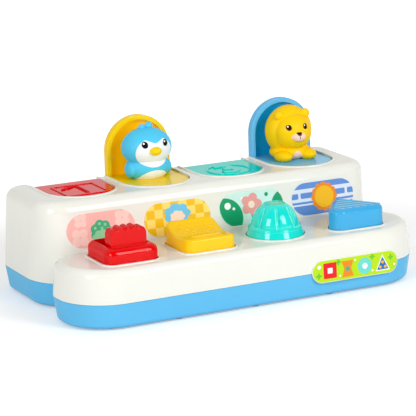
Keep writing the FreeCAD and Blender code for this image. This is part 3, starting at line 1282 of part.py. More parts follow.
def push_button():
    low = CONTROL_SKIRT_Z
    body = prism(round_triangle(0.0, low), PUSH_TOP_Z - low)
    body = body.makeFillet(PUSH_EDGE_R, edges_at(body, PUSH_TOP_Z))
    body = body.fuse(flange(round_triangle(FLANGE_OUT, FLANGE_TOP - FLANGE_THICK)))
    hollow = prism(round_triangle(-CONTROL_WALL, low - 1), PUSH_TOP_Z - CONTROL_WALL - low + 1)
    body = body.cut(hollow)
    roof = PUSH_TOP_Z - CONTROL_WALL / 2
    foot = control_foot(PUSH_X, PUSH_FOOT_Y, roof)
    stems = [cylinder_z(PUSH_X + side * PUSH_STEM_X, PUSH_STEM_Y, PUSH_STEM_Z, roof, PUSH_STEM_R)
             for side in (-1, 1)]
    post = cylinder_z(PUSH_X, PUSH_STEM_Y, PUSH_SPRING_TOP - SPRING_POST_H, roof, PUSH_POST_R)
    seat = cylinder_z(PUSH_X, PUSH_STEM_Y, PUSH_SPRING_TOP, roof, PUSH_SEAT_R)
    return fuse_all([body, foot, post, seat] + stems + push_ridges())


def push_spring():
    low = CARRIER_TOP + SPRING_WIRE
    high = PUSH_SPRING_TOP - SPRING_WIRE
    turns = coil(PUSH_SPRING_R, PUSH_SPRING_TURNS, (high - low) / PUSH_SPRING_TURNS)
    return moved(turns, PUSH_X, PUSH_STEM_Y, low)


def button_carrier():
    """Plate that hangs below the tier and carries springs, pin and knob tube."""
    top = CARRIER_TOP
    yc = (CARRIER_FRONT_Y + CARRIER_REAR_Y) / 2
    plate = prism(round_rect(CARRIER_HALF, (CARRIER_REAR_Y - CARRIER_FRONT_Y) / 2,
                             CARRIER_CORNER, CARRIER_Z, 0, yc), CARRIER_THICK)
    parts = [plate, cylinder_z(KNOB_X, BUTTON_Y, CARRIER_Z, KNOB_TUBE_TOP_Z, KNOB_TUBE_R)]
    for lane in LANES:
        parts.append(cylinder_z(lane, LATCH_SPRING_Y, CARRIER_Z, top + SPRING_POST_H,
                                LATCH_POST_R))
    parts.append(cylinder_z(PUSH_X, PUSH_STEM_Y, CARRIER_Z, top + SPRING_POST_H, PUSH_POST_R))
    for side in (-1, 1):
        parts.append(cylinder_z(PUSH_X + side * PUSH_STEM_X, PUSH_STEM_Y, CARRIER_Z,
                                PUSH_TUBE_TOP_Z, PUSH_TUBE_R))
        x = ROCKER_X + side * (CONTROL_HALF + ROCKER_TOWER_GAP + ROCKER_TOWER / 2)
        parts.append(box(x - ROCKER_TOWER / 2, x + ROCKER_TOWER / 2,
                         ROCKER_PIVOT_Y - ROCKER_TOWER_DEPTH, ROCKER_PIVOT_Y + ROCKER_TOWER_DEPTH,
                         CARRIER_Z, ROCKER_PIVOT_Z + 1))
    body = fuse_all(parts)
    pin_end = ROCKER_PIN_HALF + 1
    cuts = [rocker_bore(),
            box(ROCKER_X - pin_end, ROCKER_X + pin_end, ROCKER_PIVOT_Y - ROD_BORE,
                ROCKER_PIVOT_Y + ROD_BORE, ROCKER_PIVOT_Z, ROCKER_PIVOT_Z + 2),
            cylinder_z(KNOB_X, BUTTON_Y, CARRIER_Z - 1, KNOB_TUBE_TOP_Z + 1,
                       KNOB_SPINDLE_R + ROD_FIT)]
    for side in (-1, 1):
        cuts.append(cylinder_z(PUSH_X + side * PUSH_STEM_X, PUSH_STEM_Y, CARRIER_Z - 1,
                               PUSH_TUBE_TOP_Z + 1, PUSH_STEM_R + ROD_FIT))
    for x, y in post_points():
        cuts.append(cylinder_z(x, y, CARRIER_Z - 1, top + 1, SCREW_BORE))
    return body.cut(cuts)


# ================================================================ stickers and fasteners
def panel_sticker(lane):
    half = STICKER_LENGTH / 2
    mould = pill(lane - half, lane + half, STICKER_Z - STICKER_HEIGHT / 2,
                 STICKER_Z + STICKER_HEIGHT / 2, BLOCK_FRONT_Y - 5, HINGE_Y - 10)
    return mould.common(block_form(STICKER_THICK)).cut(block_form())


def badge_sticker():
    return badge_pill(0.0).common(badge_form(BADGE_RAISE + STICKER_THICK)).cut(
        badge_form(BADGE_RAISE))


def foot_points():
    """Foot pad positions: two rows, the corner pads further in."""
    front, rear = FRONT_Y + FRONT_FOOT_IN, REAR_Y - REAR_FOOT_IN
    points = [(x, front) for x in RIBS[1:-1]] + [(0.0, rear)]
    for side in (-1, 1):
        points.append((side * (TIER_HALF - TIER_FOOT_IN[0]), FRONT_Y + TIER_FOOT_IN[1]))
        points.append((side * (BLOCK_HALF - BLOCK_FOOT_IN), rear))
    return points


def foot_pads():
    pads = []
    for x, y in foot_points():
        pad = cylinder_z(x, y, 0, FOOT_STANDOFF, FOOT_R)
        pads.append(pad.makeChamfer(FOOT_EDGE_R, edges_at(pad, 0)))
    return Part.makeCompound(pads)


def fasteners(points, head_z, length):
    return Part.makeCompound([screw(x, y, head_z, length) for x, y in points])


def main():
    os.makedirs("parts", exist_ok=True)
    export("top_shell", top_shell())
    export("bottom_base", bottom_base())
    export("foot_pads", foot_pads())
    export("housing_screws", fasteners(housing_screw_points(), COUNTERBORE_Z,
                                       HOUSING_SCREW_TOP - COUNTERBORE_Z))
    export("hinge_rod", cylinder_x(-HINGE_ROD_HALF, HINGE_ROD_HALF, HINGE_Y, HINGE_Z, ROD_R))
    export("latch_rod", cylinder_x(-LATCH_ROD_HALF, LATCH_ROD_HALF, LEVER_Y, LEVER_Z, ROD_R))
    export("rear_rod_keeper", rear_keeper())
    export("front_rod_keeper", front_keeper())
    export("rear_keeper_screws", fasteners(keeper_points(False), REAR_KEEPER_Z, KEEPER_SCREW))
    export("front_keeper_screws", fasteners(keeper_points(True), FRONT_KEEPER_Z, KEEPER_SCREW))
    export("button_carrier", button_carrier())
    export("carrier_screws", fasteners(post_points(), CARRIER_Z, CARRIER_SCREW))

    flaps = (("square", False, CROCODILE, "crocodile"), ("hourglass", True, PENGUIN, "penguin"),
             ("circle", False, HIPPO, "hippo"), ("triangle", True, LION, "lion"))
    spring = flap_spring()
    holder = figure_screw()
    levers = latch_levers()
    for i, (lane, (kind, opened, rows, name)) in enumerate(zip(LANES, flaps)):
        number = str(i + 1)
        export("flap_" + number, place(flap(kind), lane, opened))
        export(name + "_figure", place(figure(rows), lane, opened))
        export("figure_screw_" + number, place(holder, lane, opened))
        export("flap_spring_" + number, place(spring, lane, opened))
        export("latch_lever_" + number, levers[i])
        export("latch_spring_" + number, latch_spring(lane))
        export("panel_sticker_" + number, panel_sticker(lane))
    export("badge_sticker", badge_sticker())

    export("slider_track", slider_track())
    export("slider_bar", slider_bar())
    export("slider_keeper", slider_keeper())
    export("rocker_button", rocker_button())
    export("rocker_pin", rocker_pin())
    export("twist_knob", twist_knob())
    export("knob_washer", knob_washer())
    export("knob_screw", screw(KNOB_X, BUTTON_Y, CARRIER_Z - WASHER_THICK, KNOB_SCREW))
    export("push_button", push_button())
    export("push_button_spring", push_spring())


if __name__ == "__main__":
    main()
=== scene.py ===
import json
import math

import bmesh
import bpy
from mathutils import Matrix, Vector
from mathutils.bvhtree import BVHTree


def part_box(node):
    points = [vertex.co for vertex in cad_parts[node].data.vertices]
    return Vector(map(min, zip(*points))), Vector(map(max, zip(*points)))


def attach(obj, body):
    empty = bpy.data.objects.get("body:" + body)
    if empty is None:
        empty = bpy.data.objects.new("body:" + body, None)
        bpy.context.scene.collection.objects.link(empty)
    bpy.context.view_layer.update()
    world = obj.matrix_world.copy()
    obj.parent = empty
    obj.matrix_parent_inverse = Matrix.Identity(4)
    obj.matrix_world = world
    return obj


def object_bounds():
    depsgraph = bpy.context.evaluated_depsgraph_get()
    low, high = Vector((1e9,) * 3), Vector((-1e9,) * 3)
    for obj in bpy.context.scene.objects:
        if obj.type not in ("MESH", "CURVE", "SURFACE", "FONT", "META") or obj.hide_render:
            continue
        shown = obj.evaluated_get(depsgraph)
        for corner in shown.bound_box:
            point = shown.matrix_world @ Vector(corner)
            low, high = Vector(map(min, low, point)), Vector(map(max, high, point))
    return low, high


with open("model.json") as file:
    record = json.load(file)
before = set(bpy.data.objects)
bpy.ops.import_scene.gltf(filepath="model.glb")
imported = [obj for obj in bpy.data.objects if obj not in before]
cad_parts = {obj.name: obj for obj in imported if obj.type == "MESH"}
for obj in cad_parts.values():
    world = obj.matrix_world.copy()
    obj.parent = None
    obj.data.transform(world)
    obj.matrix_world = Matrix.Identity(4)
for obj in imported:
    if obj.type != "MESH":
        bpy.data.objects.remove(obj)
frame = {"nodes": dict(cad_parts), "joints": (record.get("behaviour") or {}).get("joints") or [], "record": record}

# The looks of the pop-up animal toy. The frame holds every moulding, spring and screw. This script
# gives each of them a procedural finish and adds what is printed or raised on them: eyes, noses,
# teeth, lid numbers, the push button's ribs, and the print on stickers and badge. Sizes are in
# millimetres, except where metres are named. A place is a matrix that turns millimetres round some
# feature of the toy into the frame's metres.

MM = 0.001
CAD_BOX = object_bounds()
JOINTS = {joint["name"]: joint for joint in frame["joints"]}
LANE_NUMBERS = (1, 2, 3, 4)
OPEN_AT_REST = (2, 4)
LID_SLOTS = {1: "flap_red", 2: "flap_yellow", 3: "flap_teal", 4: "flap_blue"}

# From a flap's hinge to its figure with the flap open, and to its mark with the flap closed
FIGURE_FORWARD = 15.6
FIGURE_RISE = 8.4
MARK_FORWARD = 32.6
MARK_RISE = 8.9

# Eyes, noses and teeth
REARWARD = (0, 1, 0)              # patches on a face are cast this way
NOSTRIL_AIM = (0, 0.8, -0.6)      # and nostrils also downwards
EYE_RISE = 0.35
EYE_LIGHT_RISE = 0.12
EYE_LIGHT_SIZE = 0.31             # as shares of the eye: its light spot's size
EYE_LIGHT_LEFT = 0.28             # and its place
EYE_LIGHT_UP = 0.36
EYE_LIGHT_LIFT = 0.9              # the spot starts at this share of the eye's rise
CAST_REACH = 60.0                 # a cast starts this far before its patch
DECAL_SINK = 0.12                 # the edge of a patch lies this deep in the figure

# Raised numbers
DIGIT_HEIGHTS = {1: 30.0, 2: 17.0, 3: 30.0, 4: 15.0}
DIGIT_ONE = ((0.09, -0.5), (0.09, 0.5), (-0.02, 0.5), (-0.22, 0.36), (-0.49, 0.25), (-0.49, 0.195),
             (-0.2, 0.305), (0.0, 0.445), (0.035, 0.445), (0.035, -0.5))  # as shares of its height
DIGIT_RISE = 1.1
DIGIT_EDGE = 0.2                  # bevel of its edges, part of the rise
DIGIT_SWELL = 0.025               # the font's strokes grow by this share of the height
CAP_SHARE = 0.7                   # height of a digit as a share of the font's size

# The thin skin inside an open lid, which gets painted shade and a painted glow
LID_RIM = 4.0                     # depth of the rim at the lid's crown
SKIN_BEHIND = 4.0                 # the skin lies more than this behind the hinge
SKIN_FACING = 0.4                 # and looks forwards by more than this
SKIN_BLUR = 0.4

# Ribs over the push button, parallel to its right edge
BUTTON_CORNER = 9.5               # radius of the button's corners
RIB_FIELD_INSET = 5.0             # from the button's edge to the ribbed field
RIB_FIELD_DEPTH = 2.0
RIB_PITCH = 6.2
RIB_WIDTH = 3.0
RIB_RISE = 0.6
RIB_INSET = 1.0                   # from the field's edge to a rib
RIB_LEVELS = (0.0, 0.5, 0.8, 0.95)  # where a rib's outlines lie, as shares of its rise
# softness of the painted highlight on the ribs' crests
CREST_HIGHLIGHT_BLUR = 0.3

# Printing
PRINT_EDGE = 0.12                 # softness of a painted outline
PRINT_LIFT = 0.10                 # thickness of one layer of print
FRONT_FACING = -0.7               # the normals of a sticker's front faces have a y below this

# Light levels, as shares of white
AMBIENT = 0.47                    # the room's light on the toy
DARK_AHEAD = 0.15                 # what a gloss sees in front of the toy, where the viewer stands
GLOSS_FADE = 0.3                  # it turns to white from this share forwards to as much rearwards
FLOOR_SHADE = 0.84
FLOOR_LIFT_NEAR = 0.32            # what the viewer sees on top of the floor's shade
FLOOR_LIFT_FAR = 0.70

# The studio, in metres, watts and radians
FLOOR_HALF = 6.0
FLOOR_DROP = 0.0002
FLOOR_NEAR = 0.20                 # the floor's lift rises between these distances from the middle
FLOOR_FAR = 0.60
LAMPS = {"key": (11.0, (0.52, -1.28, 0.78)), "fill": (9.0, (-1.28, -0.78, 0.62))}
LAMP_SIZE = (0.5, 0.9)
LAMP_TARGET = (0, 0, 0.07)
CAMERA_PLACE = (-0.8175, -1.67924, 0.51223)
CAMERA_YAW, CAMERA_PITCH, CAMERA_ROLL = 0.452, 0.233, -0.030
FOCAL_PIXELS = 2192.38
PHOTO_PIXELS = 416
SENSOR_WIDTH = 36.0               # millimetres
CLIP_END = 50.0


def tint(red, green, blue):
    """A colour in 0-255 display values, as the linear one that the shaders take."""
    shares = [value / 255 for value in (red, green, blue)]
    linear = [s / 12.92 if s <= 0.04045 else ((s + 0.055) / 1.055) ** 2.4 for s in shares]
    return (*linear, 1.0)


SHELL = tint(237, 237, 228)
TRAY = tint(98, 190, 236)
FOOT = tint(70, 128, 170)
INNER_GREY = tint(206, 208, 204)
LATCH_GREY = tint(222, 222, 216)
ZINC = tint(196, 198, 202)
ZINC_SCRATCH = tint(150, 153, 158)
RED = tint(226, 0, 3)
YELLOW = tint(252, 202, 0)
TURQUOISE = tint(0, 226, 212)
BUTTON_BLUE = tint(60, 172, 226)
# painted highlight on the crests of the push button's ribs
BUTTON_CREST_HIGHLIGHT = tint(150, 208, 236)
LID_RED = tint(228, 8, 16)
LID_YELLOW = tint(255, 214, 0)
# painted shade: the deeper tone laid on the skin inside the open yellow lid
LID_YELLOW_RECESS_SHADE = tint(255, 180, 0)
LID_TEAL = tint(0, 220, 206)
LID_BLUE = tint(104, 192, 242)
# painted shade: the deeper tone laid on the skin inside the open blue lid
LID_BLUE_RECESS_SHADE = tint(14, 152, 216)
PENGUIN = tint(82, 204, 244)
MASK_WHITE = tint(240, 250, 255)
BEAK = tint(246, 214, 0)
LION = tint(255, 208, 0)
BLUSH = tint(255, 214, 190)
CROCODILE = tint(70, 184, 112)
CROCODILE_BELLY = tint(206, 232, 140)
CROCODILE_SMILE = tint(44, 122, 74)
CROCODILE_CHEEK = tint(238, 170, 150)
NOSTRIL_GREEN = tint(38, 104, 62)
HIPPO = tint(242, 160, 164)
HIPPO_PALE = tint(252, 204, 196)
HIPPO_SMILE = tint(196, 104, 112)
NOSTRIL_ROSE = tint(186, 92, 104)
WHITE = tint(250, 250, 246)
INK = tint(18, 18, 22)
BROWN = tint(58, 22, 8)
BLACK = tint(0, 0, 0)
LEAF_GREEN = tint(12, 158, 104)
PAPER_PINK = tint(248, 184, 176)
PAPER_BLOSSOM = tint(251, 208, 198)
PAPER_YELLOW = tint(253, 224, 112)
PAPER_CHECK = tint(245, 194, 0)
PAPER_MINT = tint(208, 240, 230)
PAPER_BLUE = tint(96, 144, 212)
PAPER_STRIPE = tint(222, 230, 244)
LIME = tint(186, 226, 0)
LIME_DEEP = tint(110, 200, 40)
INKS = {
    "green": tint(62, 176, 126),
    "pale_green": tint(142, 208, 160),
    "white": WHITE,
    "cream": tint(252, 226, 206),
    "pink": tint(238, 160, 152),
    "sky": tint(112, 200, 242),
    "deep_blue": tint(40, 104, 190),
    "gold": tint(248, 188, 8),
    "orange": tint(240, 140, 24),
    "red": tint(232, 20, 30),
    "teal": tint(110, 218, 204),
}


# --- Materials -----------------------------------------------------------------------------------


class Value:
    """A number that nodes work out at each point of a surface, with the usual operators."""

    def __init__(self, paint, socket):
        self.paint = paint
        self.socket = socket

    def __add__(self, other):
        return self.paint.math("ADD", self, other)

    def __sub__(self, other):
        return self.paint.math("SUBTRACT", self, other)

    def __rsub__(self, other):
        return self.paint.math("SUBTRACT", other, self)

    def __neg__(self):
        return self.paint.math("SUBTRACT", 0.0, self)

    def __mul__(self, other):
        return self.paint.math("MULTIPLY", self, other)

    def __truediv__(self, other):
        return self.paint.math("DIVIDE", self, other)

    def __abs__(self):
        return self.paint.math("ABSOLUTE", self)


class Paint:
    """A node material being built.

    Its x, y and z are millimetres in a place, or in the frame where no place is given. Its facing
    is the way that the surface looks. A shape is given as the distance into it: above 0 inside.
    """

    MIX_FACTOR, MIX_A, MIX_B, MIX_RESULT = "Factor", 6, 7, 2  # sockets of a node that mixes colours
    CLOUD_SIZE = 38.0
    WIPE_SIZE = 9.0
    WIPE_SPREAD = 0.2
    BUMP_STRENGTH = 0.5
    COAT_ROUGHNESS = 0.08

    def __init__(self, name, base, place=None):
        self.material = bpy.data.materials.new(name)
        self.material.use_nodes = True
        self.tree = self.material.node_tree
        self.shader = self.tree.nodes["Principled BSDF"]
        self.colour = base
        coordinates = self.tree.nodes.new("ShaderNodeTexCoord")
        self.facing = self.split(coordinates.outputs["Normal"])
        self.point = self.mapped(coordinates.outputs["Object"], place)
        self.x, self.y, self.z = self.split(self.point)

    def mapped(self, vector, place):
        """The vector as millimetres in a place."""
        inverse = Matrix.Scale(1 / MM, 4) if place is None else place.inverted()
        location, rotation, scale = inverse.decompose()
        node = self.tree.nodes.new("ShaderNodeMapping")
        node.inputs["Location"].default_value = location
        node.inputs["Rotation"].default_value = rotation.to_euler()
        node.inputs["Scale"].default_value = scale
        self.tree.links.new(vector, node.inputs["Vector"])
        return node.outputs["Vector"]

    def split(self, vector):
        node = self.tree.nodes.new("ShaderNodeSeparateXYZ")
        self.tree.links.new(vector, node.inputs[0])
        return [Value(self, output) for output in node.outputs]

    def feed(self, socket, value):
        """Links or sets a node's input, whichever the value needs."""
        if isinstance(value, Value):
            self.tree.links.new(value.socket, socket)
        elif isinstance(value, bpy.types.NodeSocket):
            self.tree.links.new(value, socket)
        else:
            socket.default_value = value

    def math(self, operation, *terms, clamp=False):
        node = self.tree.nodes.new("ShaderNodeMath")
        node.operation = operation
        node.use_clamp = clamp
        for socket, term in zip(node.inputs, terms):
            self.feed(socket, term)
        return Value(self, node.outputs[0])

    def larger(self, *values):
        """The largest of some values: as distances into shapes, the union of the shapes."""
        result = values[0]
        for value in values[1:]:
            result = self.math("MAXIMUM", result, value)
        return result

    def smaller(self, *values):
        """The smallest of some values: as distances into shapes, what the shapes share."""
        result = values[0]
        for value in values[1:]:
            result = self.math("MINIMUM", result, value)
        return result

    def repeat(self, value, period):
        """The value folded into one period, from minus half of it to plus half."""
        return self.math("WRAP", value, period / 2, -period / 2)

    def spread(self, value, low, high):
        """A 0-1 value stretched to run from low to high."""
        return value * (high - low) + low

    def oval(self, centre, radii, across=None, up=None):
        """Roughly the distance into an oval of the x-z plane, or of two other directions."""
        across = self.x if across is None else across
        up = self.z if up is None else up
        u = (across - centre[0]) / radii[0]
        w = (up - centre[1]) / radii[1]
        reach = self.math("SQRT", u * u + w * w)
        return (1.0 - reach) * min(radii)

    def almond(self, centre, half_length, half_width, degrees):
        """The same for a pointed leaf, the overlap of two circles, that points that way."""
        radius = (half_length ** 2 + half_width ** 2) / (2 * half_width)
        apart = radius - half_width
        across = math.radians(degrees + 90)
        offset = (apart * math.cos(across), apart * math.sin(across))
        sides = [self.oval((centre[0] + side * offset[0], centre[1] + side * offset[1]),
                           (radius, radius)) for side in (-1, 1)]
        return self.smaller(*sides)

    def noise(self, size, detail=2.0):
        """Noise from 0 to 1 whose features are about this many millimetres across."""
        node = self.tree.nodes.new("ShaderNodeTexNoise")
        self.feed(node.inputs["Vector"], self.point)
        node.inputs["Scale"].default_value = 1 / size
        node.inputs["Detail"].default_value = detail
        return Value(self, node.outputs[0])

    def lay(self, colour, inside, edge=PRINT_EDGE):
        """Lays a colour over what is there, wherever the distance into its shape is above 0."""
        cover = self.math("ADD", inside / edge, 0.5, clamp=True)
        self.blend(colour, cover)

    def blend(self, colour, share, mode="MIX"):
        node = self.tree.nodes.new("ShaderNodeMix")
        node.data_type = "RGBA"
        node.blend_type = mode
        self.feed(node.inputs[self.MIX_FACTOR], share)
        self.feed(node.inputs[self.MIX_A], self.colour)
        self.feed(node.inputs[self.MIX_B], colour)
        self.colour = node.outputs[self.MIX_RESULT]

    def paint_glow(self, colour, inside, share, edge):
        """A painted glow: an emission of a colour on a shape, standing in for the light that a thin wall lets
        through from behind.
        """
        surface = self.colour
        self.colour = BLACK
        self.lay(colour, inside, edge)
        self.feed(self.shader.inputs["Emission Color"], self.colour)
        self.shader.inputs["Emission Strength"].default_value = share
        self.colour = surface

    def finish(self, roughness, mottle=0.03, grain=1.1, depth=0.02, coat=0.0, coat_ior=1.5,
               metal=0.0, shine=0.5):
        """Adds the tone variation, the roughness and the fine relief, and closes the material.

        The relief's grain and depth are in millimetres. The shine is the specular level.
        """
        cloud = self.noise(self.CLOUD_SIZE)
        self.blend(self.spread(cloud, 1 - mottle, 1 + mottle), 1.0, mode="MULTIPLY")
        self.feed(self.shader.inputs["Base Color"], self.colour)
        wipe = self.noise(self.WIPE_SIZE, detail=4.0)
        self.feed(self.shader.inputs["Roughness"],
                  self.spread(wipe, roughness * (1 - self.WIPE_SPREAD),
                              roughness * (1 + self.WIPE_SPREAD)))
        bump = self.tree.nodes.new("ShaderNodeBump")
        bump.inputs["Strength"].default_value = self.BUMP_STRENGTH
        bump.inputs["Distance"].default_value = depth * MM
        self.feed(bump.inputs["Height"], self.noise(grain))
        self.feed(self.shader.inputs["Normal"], bump.outputs["Normal"])
        self.shader.inputs["Metallic"].default_value = metal
        self.shader.inputs["Specular IOR Level"].default_value = shine
        self.shader.inputs["Coat Weight"].default_value = coat
        self.shader.inputs["Coat Roughness"].default_value = self.COAT_ROUGHNESS
        self.shader.inputs["Coat IOR"].default_value = coat_ior
        return self.material


def polished(paint, coat=0.12, coat_ior=2.2, shine=0.02):
    """Polished moulding with a faint orange peel, over whatever has been painted so far."""
    return paint.finish(0.12, mottle=0.02, grain=5.0, depth=0.02, coat=coat, coat_ior=coat_ior,
                        shine=shine)


def gloss_plastic(name, colour, **look):
    return polished(Paint(name, colour), **look)


def matt_plastic(name, colour):
    """Fine spark-eroded texture, as inside a housing."""
    return Paint(name, colour).finish(0.48, mottle=0.04, grain=0.7, depth=0.03)


def vinyl(paint):
    """Soft satin figure plastic over whatever has been painted so far."""
    return paint.finish(0.42, mottle=0.02, grain=2.4, depth=0.03, shine=0.15)


def printed(paint):
    """Printed film with a light varnish."""
    return paint.finish(0.36, mottle=0.015, grain=1.4, depth=0.012, coat=0.05, shine=0.3)


def steel(name):
    """Zinc plated wire, rods and screws, with fine cloudy wear."""
    paint = Paint(name, ZINC)
    scratch = paint.noise(0.8, detail=6.0)
    paint.blend(ZINC_SCRATCH, paint.spread(scratch, 0.0, 0.5))
    return paint.finish(0.28, mottle=0.05, grain=0.5, depth=0.015, metal=1.0)


def rubber(name, colour):
    return Paint(name, colour).finish(0.78, mottle=0.06, grain=0.6, depth=0.06)


# --- Places --------------------------------------------------------------------------------------


def hinge_point(lane):
    return Vector(JOINTS[f"flap_{lane}_hinge"]["pos_m"])


def hinged(lane, swing, offset):
    """The place at an offset from a flap's hinge, after a swing in degrees about it."""
    turn = Matrix.Rotation(math.radians(swing), 4, "X")
    return (Matrix.Translation(hinge_point(lane)) @ turn
            @ Matrix.Translation(Vector(offset) * MM) @ Matrix.Scale(MM, 4))


def figure_place(lane):
    """x right, y rear and z up, as the figure stands when its flap is open."""
    swing = 0 if lane in OPEN_AT_REST else 90
    return hinged(lane, swing, (0, -FIGURE_FORWARD, FIGURE_RISE))


def mark_place(lane):
    """x right, y rear and z up, as the raised mark lies when its flap is closed."""
    swing = -90 if lane in OPEN_AT_REST else 0
    return hinged(lane, swing, (0, -MARK_FORWARD, MARK_RISE))


def front_face_place(node):
    """x right, z up the slope and y inwards, centred on the front face of a flat node."""
    mesh = frame["nodes"][node].data
    front = [p for p in mesh.polygons if p.normal.y < FRONT_FACING]
    area = sum(p.area for p in front)
    centre = sum((p.center * p.area for p in front), Vector()) / area
    inward = -sum((p.normal * p.area for p in front), Vector()).normalized()
    right = Vector((1, 0, 0))
    up = right.cross(inward).normalized()
    axes = Matrix((right, inward, up)).transposed().to_4x4()
    return Matrix.Translation(centre) @ axes @ Matrix.Scale(MM, 4)


# --- Outlines, as lists of points in millimetres --------------------------------------------------


def turned(points, degrees, shift):
    """The points turned about the origin and then shifted."""
    c, s = math.cos(math.radians(degrees)), math.sin(math.radians(degrees))
    return [(x * c - y * s + shift[0], x * s + y * c + shift[1]) for x, y in points]


def oval(half_width, half_height, centre=(0, 0), count=32):
    angles = [2 * math.pi * k / count for k in range(count)]
    return [(centre[0] + half_width * math.cos(a), centre[1] + half_height * math.sin(a))
            for a in angles]


def rounded_box(half_width, half_height, corner, centre=(0, 0), count=6):
    points = []
    for index, (sx, sy) in enumerate(((1, 1), (-1, 1), (-1, -1), (1, -1))):
        for k in range(count + 1):
            angle = math.pi / 2 * (index + k / count)
            points.append((centre[0] + sx * (half_width - corner) + corner * math.cos(angle),
                           centre[1] + sy * (half_height - corner) + corner * math.sin(angle)))
    return points


def rosette(radius, lobes, depth, centre=(0, 0), count=72):
    """A flower or cloud: a circle whose radius rises and falls between its lobes."""
    points = []
    for k in range(count):
        angle = 2 * math.pi * k / count
        reach = radius * (1 - depth + depth * abs(math.cos(lobes * angle / 2)))
        points.append((centre[0] + reach * math.cos(angle), centre[1] + reach * math.sin(angle)))
    return points


def star(outer, inner, points, centre):
    spots = []
    for k in range(2 * points):
        reach = inner if k % 2 else outer
        angle = math.pi * (k / points + 0.5)
        spots.append((centre[0] + reach * math.cos(angle), centre[1] + reach * math.sin(angle)))
    return spots


def drop(length, width, base, count=12):
    """A drop that stands on its base, widest below its middle and pointed at both ends."""
    steps = [k / count for k in range(count + 1)]
    lower = [(length * t, -width / 2 * math.sin(math.pi * t ** 0.8)) for t in steps]
    upper = [(length * t, width / 2 * math.sin(math.pi * t ** 0.8)) for t in steps[1:-1]]
    return turned(lower + upper[::-1], 90, base)


def bar(start, end, width, count=5):
    """A straight stroke with round ends."""
    heading = math.atan2(end[1] - start[1], end[0] - start[0])
    points = []
    for centre, first in ((end, heading - math.pi / 2), (start, heading + math.pi / 2)):
        for k in range(count + 1):
            angle = first + math.pi * k / count
            points.append((centre[0] + width / 2 * math.cos(angle),
                           centre[1] + width / 2 * math.sin(angle)))
    return points


# --- Pieces --------------------------------------------------------------------------------------


def add_piece(name, bm, material, body):
    """Turns a form into a piece of the toy, with its faces' normals outwards."""
    bmesh.ops.recalc_face_normals(bm, faces=bm.faces)
    mesh = bpy.data.meshes.new(name)
    bm.to_mesh(mesh)
    bm.free()
    mesh.materials.append(material)
    piece = bpy.data.objects.new(name, mesh)
    bpy.context.scene.collection.objects.link(piece)
    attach(piece, body)


def print_on(place, shapes):
    """Flat printed shapes on a sticker, each (name, ink, layer, outlines). Layers count upwards
    from the sticker's face, and each stands a hair prouder than the one below."""
    for name, ink, layer, outlines in shapes:
        bm = bmesh.new()
        for outline in outlines:
            top = [bm.verts.new(place @ Vector((u, -layer * PRINT_LIFT, w))) for u, w in outline]
            foot = [bm.verts.new(place @ Vector((u, 0, w))) for u, w in outline]
            bm.faces.new(top)
            for k in range(len(top)):
                bm.faces.new((top[k - 1], foot[k - 1], foot[k], top[k]))
        add_piece(name, bm, ink, "housing")


def both_sides(half_gap, middle, height, aim, outline, rise, lift=0.0, depth=0.0):
    """The same patch left and right of a figure's middle."""
    return [((middle + side * half_gap, depth, height), aim, outline, rise, lift)
            for side in (-1, 1)]


class Figure:
    """An animal that small domed patches are laid on.

    A patch is (centre, aim, outline, height, lift). Its outline is drawn square to the aim round
    the centre and cast along the aim onto the figure. The dome rises by its height over the lift.
    """

    RINGS = 6

    def __init__(self, animal, lane, slot):
        self.animal = animal
        self.place = figure_place(lane)
        self.turn = self.place.to_3x3()
        self.body = f"flap_{lane}_body"
        self.slot = slot
        mesh = frame["nodes"][f"{animal}_figure"].data
        self.surface = BVHTree.FromPolygons([v.co for v in mesh.vertices],
                                            [p.vertices for p in mesh.polygons])

    def cast(self, aim, rise, target):
        """The point where the line through target along aim meets the figure, plus a rise."""
        direction = (self.turn @ aim).normalized()
        start = self.place @ (target - aim * CAST_REACH)
        hit, normal, _, _ = self.surface.ray_cast(start, direction)
        return hit + normal * rise * MM

    def add_domes(self, part, patches, material):
        """Adds some patches as one piece."""
        right = Vector((1, 0, 0))
        bm = bmesh.new()
        for centre, aim, outline, height, lift in patches:
            aim = Vector(aim).normalized()
            up = right.cross(aim).normalized()
            rows = []
            for ring in range(self.RINGS):
                share = 1 - ring / self.RINGS
                rise = lift + height * math.sqrt(1 - share * share)
                rise -= DECAL_SINK if ring == 0 else 0
                rows.append([bm.verts.new(self.cast(
                    aim, rise, Vector(centre) + right * u * share + up * v * share))
                    for u, v in outline])
            tip = bm.verts.new(self.cast(aim, lift + height, Vector(centre)))
            for outer, inner in zip(rows, rows[1:]):
                for k in range(len(outer)):
                    bm.faces.new((outer[k - 1], outer[k], inner[k], inner[k - 1]))
            for k in range(len(rows[-1])):
                bm.faces.new((rows[-1][k - 1], rows[-1][k], tip))
        for face in bm.faces:
            face.smooth = True
        add_piece(f"{self.animal}_{part}", bm, material, self.body)

    def add_eyes(self, half_gap, middle, height, radii, dark, sparkle):
        """Two glossy dark ovals, each with a small light spot up and to the left."""
        width, tall = radii
        eyes = both_sides(half_gap, middle, height, REARWARD, oval(width, tall), EYE_RISE)
        self.add_domes("eyes", eyes, dark)
        spot = oval(EYE_LIGHT_SIZE * width, EYE_LIGHT_SIZE * tall, count=16)
        spots = both_sides(half_gap, middle - EYE_LIGHT_LEFT * width, height + EYE_LIGHT_UP * tall,
                           REARWARD, spot, EYE_LIGHT_RISE, EYE_RISE * EYE_LIGHT_LIFT)
        self.add_domes("eye_lights", spots, sparkle)


# --- Figures -------------------------------------------------------------------------------------


